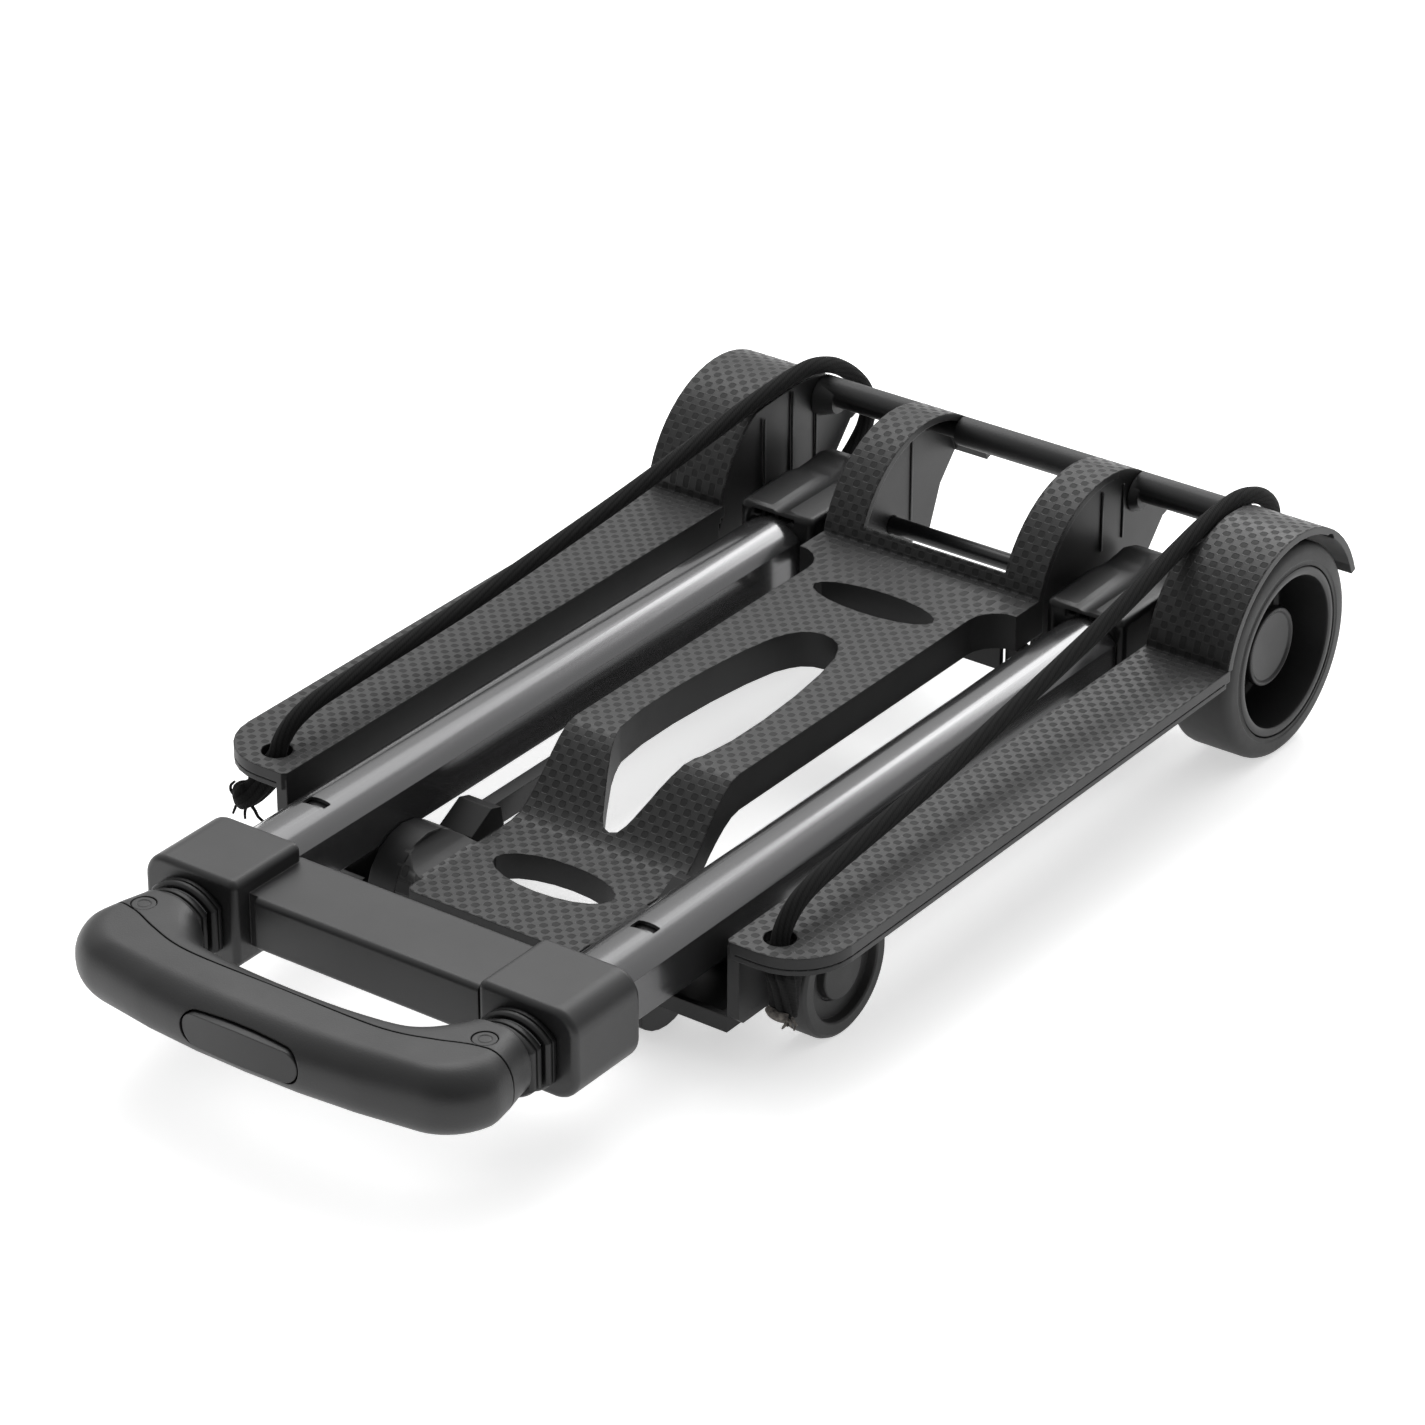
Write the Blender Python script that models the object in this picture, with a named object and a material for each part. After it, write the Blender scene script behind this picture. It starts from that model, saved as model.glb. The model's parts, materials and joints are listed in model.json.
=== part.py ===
"""Folding luggage trolley, folded flat: two-wheeled deck, telescopic mast, grip with a button."""

import math

import bmesh
import bpy
from mathutils import Vector

# Sizes are in millimetres. X is the width, Z is up, and Y is counted from the rear axle
# with the grip towards -Y. at() turns them into metres and centres the folded length on Y.
MM = 0.001
AXLE_Y = 189.95
GAP = 0.3

# Rear wheels and axle
WHEEL_R = 40.0
WHEEL_IN = 99.0
WHEEL_OUT = 124.6
TYRE_IN_R = 31.8
RIM_OPEN_R = 28.0
HUB_R = 14.6
AXLE_R = 3.3
AXLE_Z = 40.0
AXLE_END = 114.5

# Fenders and arches share one cylinder
GUARD_Y = 1.5
GUARD_Z = 40.9
GUARD_R = 44.6
GUARD_IN_R = 41.9
TAIL_DEG = 18.5

# Wings
WING_IN = 91.4
WING_OUT = 125.4
WING_FRONT = -291.0
WING_TOP = 50.4
WING_THICK = 3.6
WING_RIM = 6.2
WALL_OUT = 96.0
WEB_OUT = 94.0
CORD_HOLE = (104.4, -279.3)
CORD_HOLE_R = 5.5

# Centre plate
PLATE_FRONT = -296.8
PLATE_LOW = 28.4
PLATE_HIGH = 53.6
STEP_FRONT = -240.0
STEP_BACK = -205.0
PLATE_DEEP = (9.8, 13.8)
PLATE_SKIN = 3.0
PLATE_WALL = 2.6
PLATE_HALF = 34.5
SHOULDER = 46.7
ARCH_IN = 30.6
ARCH_WEB = (44.8, 46.5)

# Rear crossbar
BAR_Y = 23.4
BAR_Z = 73.4
BAR_R = 5.5
BAR_NECK_R = 3.5

# Small wheels: outer pair on pins, inner pair under the hoods
FRONT_WHEEL_Y = -247.3
FRONT_WHEEL_R = 23.8
FRONT_WHEEL_X = (95.3, 108.0)
ROLLER_Y = -273.7
ROLLER_R = 16.4
ROLLER_X = (46.8, 54.8)
HOOD_R = 19.8
HOOD_IN_R = 17.4
HOOD_OUT = 55.2

# Mast tubes: flat flanks with arched top and bottom, (half width, half flank, half height)
MAST_X = 68.0
OUTER = (12.25, 7.5, 13.25)
MIDDLE = (10.5, 7.0, 11.5)
INNER = (8.8, 6.5, 9.8)
TUBE_WALL = 1.3
OUTER_SPAN = (-362.0, -10.0)
MIDDLE_SPAN = (-371.0, -57.0)
INNER_SPAN = (-388.0, -82.0)
STROKE = 250.0
MIDDLE_PIN_Y = -52.5
INNER_PIN_Y = -72.75
PIN_DROP = 2.5

# Housing that ties the outer tubes together
BLOCK_X = (49.6, 88.4)
BLOCK_Y = (-365.5, -331.5)
BLOCK_Z = (24.9, 57.4)
BRIDGE_Y = (-360.3, -329.2)
BRIDGE_Z = (31.5, 51.0)

# Grip
GRIP_HALF = 85.0
GRIP_FRONT = -423.4
GRIP_BACK = -378.0
GRIP_Z = (29.6, 54.0)
BUTTON_HALF = 23.4
BUTTON_Z = (37.0, 48.6)
BUTTON_TRAVEL = 4.0
ROD_R = 2.0

# Elastic cord, whose two lower knots hang at slightly different places
CORD_R = 3.15
KNOT_X = {"left": -111.5, "right": 108.0}


def at(x, y, z):
    return (x * MM, (y + AXLE_Y) * MM, z * MM)


def material(name, colour, roughness, metallic=0.0):
    made = bpy.data.materials.new(name)
    made.use_nodes = True
    shader = made.node_tree.nodes["Principled BSDF"]
    shader.inputs["Base Color"].default_value = (*colour, 1.0)
    shader.inputs["Roughness"].default_value = roughness
    shader.inputs["Metallic"].default_value = metallic
    made.diffuse_color = (*colour, 1.0)
    return made


for old in list(bpy.data.objects):
    bpy.data.objects.remove(old, do_unlink=True)

CARBON = material("carbon_pattern_plastic", (0.045, 0.045, 0.047), 0.42)
GRAIN = material("fine_grain_plastic", (0.030, 0.030, 0.032), 0.38)
BLACK = material("smooth_black_plastic", (0.022, 0.022, 0.023), 0.45)
BUTTON = material("button_plastic", (0.034, 0.034, 0.036), 0.36)
ANODISED = material("black_anodised_tube", (0.030, 0.030, 0.032), 0.22, 0.85)
SATIN = material("matt_black_bar", (0.018, 0.018, 0.019), 0.55)
STEEL = material("steel", (0.42, 0.42, 0.43), 0.30, 1.0)
TYRE = material("tyre_rubber", (0.028, 0.028, 0.029), 0.70)
RIM = material("rim_plastic", (0.024, 0.024, 0.025), 0.40)
CORD = material("braided_cord", (0.016, 0.016, 0.017), 0.85)


def mesh_object(name, points, faces, skin):
    """An object from points in millimetres, with its faces turned outwards."""
    data = bpy.data.meshes.new(name)
    build = bmesh.new()
    made = [build.verts.new(at(*point)) for point in points]
    for face in faces:
        build.faces.new([made[i] for i in face])
    bmesh.ops.recalc_face_normals(build, faces=build.faces)
    build.to_mesh(data)
    build.free()
    data.shade_smooth()
    data.set_sharp_from_angle(angle=math.radians(35.0))
    data.materials.append(skin)
    obj = bpy.data.objects.new(name, data)
    bpy.context.scene.collection.objects.link(obj)
    return obj


def placed(axis, a, b, along):
    """A point of an outline drawn across an axis: (Y, Z) for X, (X, Z) for Y, (X, Y) for Z."""
    return {"X": (along, a, b), "Y": (a, along, b), "Z": (a, b, along)}[axis]


def prism(name, outline, axis, low, high, skin=BLACK):
    n = len(outline)
    points = [placed(axis, a, b, low) for a, b in outline]
    points += [placed(axis, a, b, high) for a, b in outline]
    faces = [tuple(range(n)), tuple(range(n, 2 * n))]
    faces += [(i, (i + 1) % n, n + (i + 1) % n, n + i) for i in range(n)]
    return mesh_object(name, points, faces, skin)


def pipe(name, outer, inner, axis, low, high, skin=BLACK):
    """A straight hollow section: both outlines have the same number of points."""
    n = len(outer)
    rings = ((outer, low), (outer, high), (inner, high), (inner, low))
    points = [placed(axis, a, b, along) for ring, along in rings for a, b in ring]
    faces = []
    for k in range(4):
        here, there = k * n, (k + 1) % 4 * n
        for i in range(n):
            j = (i + 1) % n
            faces.append((here + i, here + j, there + j, there + i))
    return mesh_object(name, points, faces, skin)


def turned(name, profile, centre, steps, axis="X", skin=BLACK):
    """A closed (radius, along) profile turned about an axis through centre."""
    n = len(profile)
    points = []
    for k in range(steps):
        turn = 2 * math.pi * k / steps
        for radius, along in profile:
            a = centre[0] + radius * math.cos(turn)
            b = centre[1] + radius * math.sin(turn)
            points.append(placed(axis, a, b, along))
    faces = []
    for k in range(steps):
        here, there = k * n, (k + 1) % steps * n
        for i in range(n):
            j = (i + 1) % n
            faces.append((here + i, here + j, there + j, there + i))
    return mesh_object(name, points, faces, skin)


def arc(ca, cb, radius, start, end, steps):
    """Points on an arc, from start to end in degrees."""
    turns = [math.radians(start + (end - start) * k / steps) for k in range(steps + 1)]
    return [(ca + radius * math.cos(t), cb + radius * math.sin(t)) for t in turns]


def circle(ca, cb, radius, steps):
    return arc(ca, cb, radius, 0.0, 360.0, steps)[:-1]


def rod(name, centre, radius, axis, low, high, steps, skin=BLACK):
    return prism(name, circle(*centre, radius, steps), axis, low, high, skin)


def box(name, xs, ys, zs, skin=BLACK):
    outline = [(xs[0], ys[0]), (xs[1], ys[0]), (xs[1], ys[1]), (xs[0], ys[1])]
    return prism(name, outline, "Z", zs[0], zs[1], skin)


def helper(obj):
    obj.hide_render = True
    obj.display_type = "WIRE"
    return obj


def combine(target, tool, operation):
    helper(tool)
    step = target.modifiers.new(operation.lower(), "BOOLEAN")
    step.operation = operation
    step.solver = "EXACT"
    step.object = tool


def cut(target, *tools):
    for tool in tools:
        combine(target, tool, "DIFFERENCE")


def join(target, *tools):
    for tool in tools:
        combine(target, tool, "UNION")


def keep(target, *tools):
    for tool in tools:
        combine(target, tool, "INTERSECT")


def bevel(obj, width, segments=2, angle=40.0):
    step = obj.modifiers.new("bevel", "BEVEL")
    step.width = width * MM
    step.segments = segments
    step.limit_method = "ANGLE"
    step.angle_limit = math.radians(angle)
    return obj


def section(size, inset=0.0, x=0.0, z=AXLE_Z, steps=4):
    """Tube section: straight flanks joined by arcs over the top and under the bottom."""
    half, flank, crown = size[0] - inset, size[1], size[2] - inset
    rise = crown - flank
    radius = (half * half + rise * rise) / (2 * rise)
    spread = math.degrees(math.asin(half / radius))
    over = arc(x, z + crown - radius, radius, 90 - spread, 90 + spread, steps)
    under = arc(x, z - crown + radius, radius, 270 - spread, 270 + spread, steps)
    return over + under


def strip(centre, outer_r, inner_r, start, end, steps):
    """Side outline of a curved strip between two angles from +Y."""
    return arc(*centre, outer_r, start, end, steps) + arc(*centre, inner_r, end, start, steps)


def guard(start, end, steps):
    return strip((GUARD_Y, GUARD_Z), GUARD_R, GUARD_IN_R, start, end, steps)


def web_outline(front_y, front_low):
    """Side wall that hangs from the guard and carries the axle."""
    over = arc(GUARD_Y, GUARD_Z, GUARD_IN_R + 0.6, 166.0, 20.0, 16)
    rear = [(31.5, 44.5), (25.3, 28.9), (12.0, 27.0), (-12.0, 27.0)]
    return over + rear + [(-28.0, 33.0), (front_y, front_low)]


def ease(t):
    t = min(max(t, 0.0), 1.0)
    return t * t * (3 - 2 * t)


def plate_top(y):
    """Height of the centre plate's top: low in front, a smooth step, then high."""
    rise = PLATE_HIGH - PLATE_LOW
    return PLATE_LOW + rise * ease((y - STEP_FRONT) / (STEP_BACK - STEP_FRONT))


def plate_side(front, back, upper, lower):
    """Side outline of the plate between two depths below its top, each (in front, behind)."""
    steps = 8
    over = []
    under = []
    for k in range(-1, steps + 2):
        y = STEP_FRONT + (STEP_BACK - STEP_FRONT) * k / steps
        y = front if k < 0 else back if k > steps else y
        risen = ease((y - STEP_FRONT) / (STEP_BACK - STEP_FRONT))
        over.append((y, plate_top(y) - upper[0] - (upper[1] - upper[0]) * risen))
        under.append((y, plate_top(y) - lower[0] - (lower[1] - lower[0]) * risen))
    return over + under[::-1]


def plate_plan(inset):
    """Plan outline of the plate, drawn for +X and mirrored."""
    side = PLATE_HALF - inset
    wide = SHOULDER - inset
    front = PLATE_FRONT + inset
    notch = arc(SHOULDER, -68.0, SHOULDER - PLATE_HALF + inset, 180.0, 90.0, 5)
    half = [(side - 1.0, front), (side + 1.0, front + 2.0), (side + 1.0, -238.0)]
    half += [(side, -222.0)] + notch[:-1]
    half += [(wide, -56.0 + inset), (wide, -38.6)]
    return half + [(-x, y) for x, y in reversed(half)]


def oval(centre_y, half_x, half_y, steps=20):
    turns = [2 * math.pi * k / steps for k in range(steps)]
    return [(half_x * math.cos(t), centre_y + half_y * math.sin(t)) for t in turns]


def teardrop(grow=0.0):
    """Hole that is widest behind the step and narrows to a rounded end on the slope."""
    near = arc(0.0, -226.5, 5.4 + grow, 205.0, 335.0, 4)
    side = [(9.2 + grow, -221.0), (13.2 + grow, -213.0), (17.2 + grow, -202.0)]
    side += [(18.9 + grow, -188.0), (19.0 + grow, -170.0), (17.8 + grow, -150.0)]
    far = [(15.6 + grow, -132.0), (12.9 + grow, -119.0)]
    end = arc(0.0, -118.2, 11.4 + grow, 25.0, 90.0, 3)
    right = side + far + end
    left = [(-x, y) for x, y in reversed(right[:-1])]
    return near + right + left


# ---------------------------------------------------------------- deck
def mirror_x(outline, sign):
    return [(sign * x, y) for x, y in outline]


def span(sign, low, high):
    return sorted((sign * low, sign * high))


plate = prism("centre_plate", plate_plan(0.0), "Z", 10.0, 70.0, CARBON)
side_view = plate_side(PLATE_FRONT - 5, -38.6, (0.0, 0.0), PLATE_DEEP)
keep(plate, prism("plate_profile", side_view, "X", -60, 60))
hollow = prism("plate_hollow", plate_plan(PLATE_WALL), "Z", 10.0, 70.0)
under_skin = plate_side(PLATE_FRONT - 5, -30.0, (PLATE_SKIN, PLATE_SKIN), (30.0, 30.0))
keep(hollow, prism("hollow_profile", under_skin, "X", -60, 60))
collars = (
    prism("near_collar", oval(-262.4, 27.0, 12.9), "Z", 0, 80),
    prism("far_collar", oval(-77.0, 28.0, 11.1), "Z", 0, 80),
    prism("drop_collar", teardrop(PLATE_WALL), "Z", 0, 80),
)
cut(hollow, *collars)
cut(plate, hollow)
join(
    plate,
    prism("front_panel", guard(164.5, 156.0, 3), "X", -SHOULDER, SHOULDER),
    box("cross_rib", (-40.9, 40.9), (-57.0, -54.8), (31.0, 51.0)),
)
for side, sign in (("left", -1), ("right", 1)):
    low, high = span(sign, ARCH_IN, SHOULDER)
    join(plate, prism(side + "_arch_front", guard(157.0, 80.0, 12), "X", low, high))
    low, high = span(sign, ARCH_IN, ARCH_WEB[1])
    join(plate, prism(side + "_arch_back", guard(81.0, 19.0, 10), "X", low, high))
    low, high = span(sign, *ARCH_WEB)
    join(plate, prism(side + "_arch_web", web_outline(-44.0, 36.0), "X", low, high))
    low, high = span(sign, 44.0, HOOD_OUT)
    hood = strip((ROLLER_Y, ROLLER_R), HOOD_R, HOOD_IN_R, 205.0, -25.0, 12)
    hood_shell = prism(side + "_hood", hood, "X", low, high)
    cheek = arc(ROLLER_Y, ROLLER_R, HOOD_R - 0.4, 200.0, -20.0, 14)
    low, high = span(sign, 43.8, 46.2)
    hood_cheek = prism(side + "_hood_cheek", cheek, "X", low, high)
    sweep = arc(33.0, PLATE_LOW + 13.0, 13.0, 270.0, 356.0, 6)
    blend = [(33.0, PLATE_LOW - 6.0)] + sweep + [(46.2, PLATE_LOW - 6.0)]
    hood_blend = prism(side + "_hood_blend", mirror_x(blend, sign), "Y", -295.5, -252.0)
    low, high = span(sign, 30.0, 60.0)
    round_off = rod(side + "_hood_round", (ROLLER_Y, ROLLER_R), HOOD_R - 0.2, "X", low, high, 24)
    keep(hood_blend, round_off)
    join(plate, hood_shell, hood_cheek, hood_blend)
    low, high = span(sign, 40.0, 60.0)
    cut(plate, rod(side + "_roller_hole", (ROLLER_Y, ROLLER_R), 2.8, "X", low, high, 12))
cut(
    plate,
    prism("near_hole", oval(-262.4, 24.4, 10.3), "Z", 0, 80),
    prism("far_hole", oval(-77.0, 25.4, 8.5), "Z", 0, 80),
    prism("drop_hole", teardrop(), "Z", 0, 80),
    rod("arch_axle_hole", (0.0, AXLE_Z), AXLE_R + GAP, "X", -50, 50, 20),
    rod("arch_bar_hole", (BAR_Y, BAR_Z), BAR_NECK_R + GAP, "X", -50, 50, 16),
)


def wing_plan():
    """Plan outline for +X: straight sides and a rounded outer front corner."""
    corner = arc(103.9, -269.5, 21.5, 270.0, 360.0, 7)
    front = [(WING_IN + 1.5, WING_FRONT)] + corner
    return front + [(WING_OUT, -40.6), (WING_IN, -40.6), (WING_IN, WING_FRONT + 1.5)]


def cord_route(side, sign):
    """Centreline of the cord, from the knot under the wing to the knot behind the wheel."""
    knot_x = sign * KNOT_X[side]
    hole_x = CORD_HOLE[0]
    route = [
        (knot_x, -282.0, 37.8),
        (knot_x - 0.1 * (knot_x - hole_x), -281.9, 41.0),
        (knot_x - 0.55 * (knot_x - hole_x), -281.0, 44.4),
        (knot_x - 0.98 * (knot_x - hole_x), -279.5, 48.6),
        (104.2, -276.8, 53.6),
        (103.9, -270.5, 58.2),
        (103.5, -260.0, 61.0),
        (102.8, -242.0, 62.3),
        (100.9, -190.0, 64.8),
        (99.8, -163.0, 66.8),
        (97.6, -107.0, 72.2),
        (96.0, -65.0, 77.2),
        (94.2, -28.0, 82.4),
        (93.2, -8.0, 84.6),
        (92.8, 8.0, 85.3),
        (92.6, 18.0, 84.4),
        (92.3, 29.0, 80.6),
        (91.2, 38.0, 74.6),
        (89.6, 44.4, 67.4),
        (88.0, 46.4, 59.8),
        (87.2, 43.6, 52.6),
        (87.2, 37.6, 46.6),
        (87.4, 30.4, 41.2),
        (87.5, 24.4, 35.2),
        (87.5, 22.0, 27.6),
    ]
    return [(sign * x, y, z) for x, y, z in route]


def smooth(route, spacing):
    """Points at an even spacing on a Catmull-Rom curve through the route."""
    knots = [Vector(point) for point in route]
    knots = [2 * knots[0] - knots[1]] + knots + [2 * knots[-1] - knots[-2]]
    fine = []
    for a, b, c, d in zip(knots, knots[1:], knots[2:], knots[3:]):
        for k in range(12):
            t = k / 12
            fine.append(
                0.5
                * (
                    2 * b
                    + (c - a) * t
                    + (2 * a - 5 * b + 4 * c - d) * t * t
                    + (3 * b - a - 3 * c + d) * t * t * t
                )
            )
    fine.append(knots[-2])
    total = sum((q - p).length for p, q in zip(fine, fine[1:]))
    count = round(total / spacing)
    out = [fine[0]]
    walked = 0.0
    for p, q in zip(fine, fine[1:]):
        step = (q - p).length
        while len(out) < count and walked + step >= total * len(out) / count:
            out.append(p.lerp(q, (total * len(out) / count - walked) / step))
        walked += step
    out.append(fine[-1])
    return out


def swept(name, points, radius, sides, skin):
    """A round solid that follows the points, capped at both ends."""
    rings = []
    across = Vector((1.0, 0.0, 0.0))
    for k, point in enumerate(points):
        ahead = points[min(k + 1, len(points) - 1)] - points[max(k - 1, 0)]
        ahead.normalize()
        across = (across - ahead * across.dot(ahead)).normalized()
        other = ahead.cross(across)
        for s in range(sides):
            turn = 2 * math.pi * s / sides
            rings.append(point + radius * (math.cos(turn) * across + math.sin(turn) * other))
    last = len(rings) - sides
    faces = [tuple(range(sides)), tuple(range(last, last + sides))]
    for start in range(0, last, sides):
        for s in range(sides):
            t = (s + 1) % sides
            faces.append((start + s, start + t, start + sides + t, start + sides + s))
    return mesh_object(name, rings, faces, skin)


def cord(name, points):
    """The cord itself: a bevelled curve through the points."""
    data = bpy.data.curves.new(name, "CURVE")
    data.dimensions = "3D"
    data.bevel_depth = CORD_R * MM
    data.bevel_resolution = 2
    data.use_fill_caps = True
    line = data.splines.new("POLY")
    line.points.add(len(points) - 1)
    for spot, point in zip(line.points, points):
        spot.co = (*at(*point), 1.0)
    data.materials.append(CORD)
    obj = bpy.data.objects.new(name, data)
    bpy.context.scene.collection.objects.link(obj)
    return obj


def knot(name, centre, radius, height):
    """A tied lump: a rounded barrel about Z."""
    cx, cy, cz = centre
    half = height / 2
    profile = [(0.6, -half), (radius * 0.7, -half), (radius, -half * 0.4)]
    profile += [(radius, half * 0.4), (radius * 0.7, half), (0.6, half)]
    profile = [(r, cz + a) for r, a in profile]
    barrel = turned(name, profile, (cx, cy), 10, "Z", CORD)
    return barrel


for side, sign in (("left", -1), ("right", 1)):
    plan = mirror_x(wing_plan(), sign)
    wing = prism(side + "_wing", plan, "Z", WING_TOP - WING_RIM, WING_TOP, CARBON)
    inset = [(WING_IN + 2, -288.8)] + arc(103.9, -269.5, 19.3, 272.0, 360.0, 6)
    inset = mirror_x(inset + [(123.2, -30.0), (WING_IN + 2, -30.0)], sign)
    under = prism(side + "_wing_under", inset, "Z", 30.0, WING_TOP - WING_THICK)
    end_trim = box(side + "_end_trim", sorted((sign * 90.0, sign * 130.0)), (-43.0, -20.0), (30, 46))
    cut(wing, under, end_trim)
    low, high = span(sign, WING_IN, WALL_OUT)
    wall = [(-290.0, 48.0), (-290.0, 22.0), (-287.6, 19.6), (-236.0, 19.6), (-226.0, 30.0)]
    wall += [(-44.0, 30.0), (-44.0, 48.0)]
    join(wing, prism(side + "_wall", wall, "X", low, high))
    low, high = span(sign, WING_IN + 0.4, WING_OUT)
    join(wing, prism(side + "_fender", guard(167.4, TAIL_DEG, 24), "X", low, high))
    low, high = span(sign, WING_IN + 0.4, WEB_OUT)
    join(wing, prism(side + "_web", web_outline(-46.0, 34.0), "X", low, high))
    lug = [(14.0, 29.6), (31.0, 29.6), (31.0, 33.0), (14.0, 33.0)]
    low, high = span(sign, 84.2, WEB_OUT)
    join(wing, prism(side + "_cord_lug", lug, "X", low, high))
    low, high = span(sign, 80.0, 130.0)
    path = smooth(cord_route(side, sign), 10.5)
    over = [point for point in path if point.y > -48.0 and point.z > 52.0]
    groove = swept(side + "_cord_groove", over, CORD_R + 0.85, 12, BLACK)
    cut(
        wing,
        rod(side + "_cord_hole", (sign * CORD_HOLE[0], CORD_HOLE[1]), CORD_HOLE_R, "Z", 44, 54, 24),
        rod(side + "_lug_hole", (sign * 87.5, 23.2), 4.4, "Z", 28, 35, 14),
        rod(side + "_wing_axle_hole", (0.0, AXLE_Z), AXLE_R + GAP, "X", low, high, 20),
        rod(side + "_wing_bar_hole", (BAR_Y, BAR_Z), BAR_NECK_R + GAP, "X", low, high, 16),
        rod(side + "_pin_hole", (FRONT_WHEEL_Y, FRONT_WHEEL_R), 3.3, "X", low, high, 16),
        groove,
    )
    low, high = span(sign, FRONT_WHEEL_X[0] - 0.8, FRONT_WHEEL_X[1] + 0.8)
    spot = (FRONT_WHEEL_Y, FRONT_WHEEL_R)
    cut(wing, rod(side + "_wheel_recess", spot, FRONT_WHEEL_R + 0.7, "X", low, high, 28))
    cord(side + "_cord", path)
    start = path[0]
    knot(side + "_cord_knot", (start.x, start.y, start.z - 7.9), 5.6, 12.4)
    end = path[-1]
    knot(side + "_cord_stop", (end.x, end.y, end.z - 5.4), 4.6, 8.0)

    low, high = span(sign, 38.0, 52.0)
    ramp = [(-268.0, 22.0), (-268.0, 24.6), (-261.0, 27.6), (-247.0, 35.2)]
    ramp += [(-241.8, 33.6), (-240.6, 26.4), (-245.0, 22.0)]
    rail = prism(side + "_base_rail", ramp, "X", low, high, BLACK)
    low, high = span(sign, 41.4, 47.0)
    beam = [(-250.0, 24.0), (-48.0, 24.0), (-48.0, 39.4), (-54.4, 39.4), (-54.4, 33.0)]
    join(rail, prism(side + "_rail_beam", beam + [(-250.0, 33.0)], "X", low, high))
    clear = rod(side + "_rail_clear", (ROLLER_Y, ROLLER_R), HOOD_R + GAP, "X", low - 9, high + 9, 24)
    cut(rail, clear)

    low, high = span(sign, HOOD_OUT + GAP, WING_IN - GAP)
    link = box(side + "_front_link", (low, high), (-289.8, -256.0), (15.3, 26.2), BLACK)
    low_ear, high_ear = span(sign, HOOD_OUT + GAP, 58.5)
    ear = rod(side + "_link_ear", (-278.3, 19.5), 19.1, "X", low_ear, high_ear, 28)
    keep(ear, box(side + "_ear_trim", (-100, 100), (-291.8, -258.8), (0, 21.4)))
    join(link, ear)
    edge = [(-295.0, 21.4), (-258.4, 21.4), (-258.4, 30.0), (-295.0, 30.0)]
    cut(link, prism(side + "_link_step", edge, "X", low - 1, high + 1))
    cut(link, box(side + "_link_tray", (low + 3.2, high - 3.2), (-287.6, -258.4), (17.3, 25.0)))

# Crossbar: full size in the open, necked where it passes the arches and fender webs
bar = rod("rear_crossbar", (BAR_Y, BAR_Z), BAR_NECK_R, "X", -96.0, 96.0, 16, SATIN)
middle_bar = rod("bar_middle", (BAR_Y, BAR_Z), BAR_R, "X", GAP - ARCH_IN, ARCH_IN - GAP, 16)
join(bar, middle_bar)
for side, sign in (("left", -1), ("right", 1)):
    outer_x = WING_IN + 0.4 - GAP
    inner_x = SHOULDER + GAP
    low, high = span(sign, inner_x, outer_x)
    join(bar, rod(side + "_bar_part", (BAR_Y, BAR_Z), BAR_R, "X", low, high, 16))
    for end, wide_x, thin_x, wide_r in (("in", inner_x, 50.0, 7.2), ("out", outer_x, 84.0, 8.0)):
        flare = [(0.5, wide_x), (wide_r, wide_x), (BAR_R - 0.2, thin_x), (0.5, thin_x)]
        flare = [(r, sign * x) for r, x in flare]
        join(bar, turned(f"{side}_flare_{end}", flare, (BAR_Y - 1.4, BAR_Z - 2.2), 18))
inside_guard = rod("bar_limit", (GUARD_Y, GUARD_Z), GUARD_R, "X", -97, 97, 60)
keep(bar, inside_guard)

rod("rear_axle", (0.0, AXLE_Z), AXLE_R, "X", -AXLE_END, AXLE_END, 24, SATIN)

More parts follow.
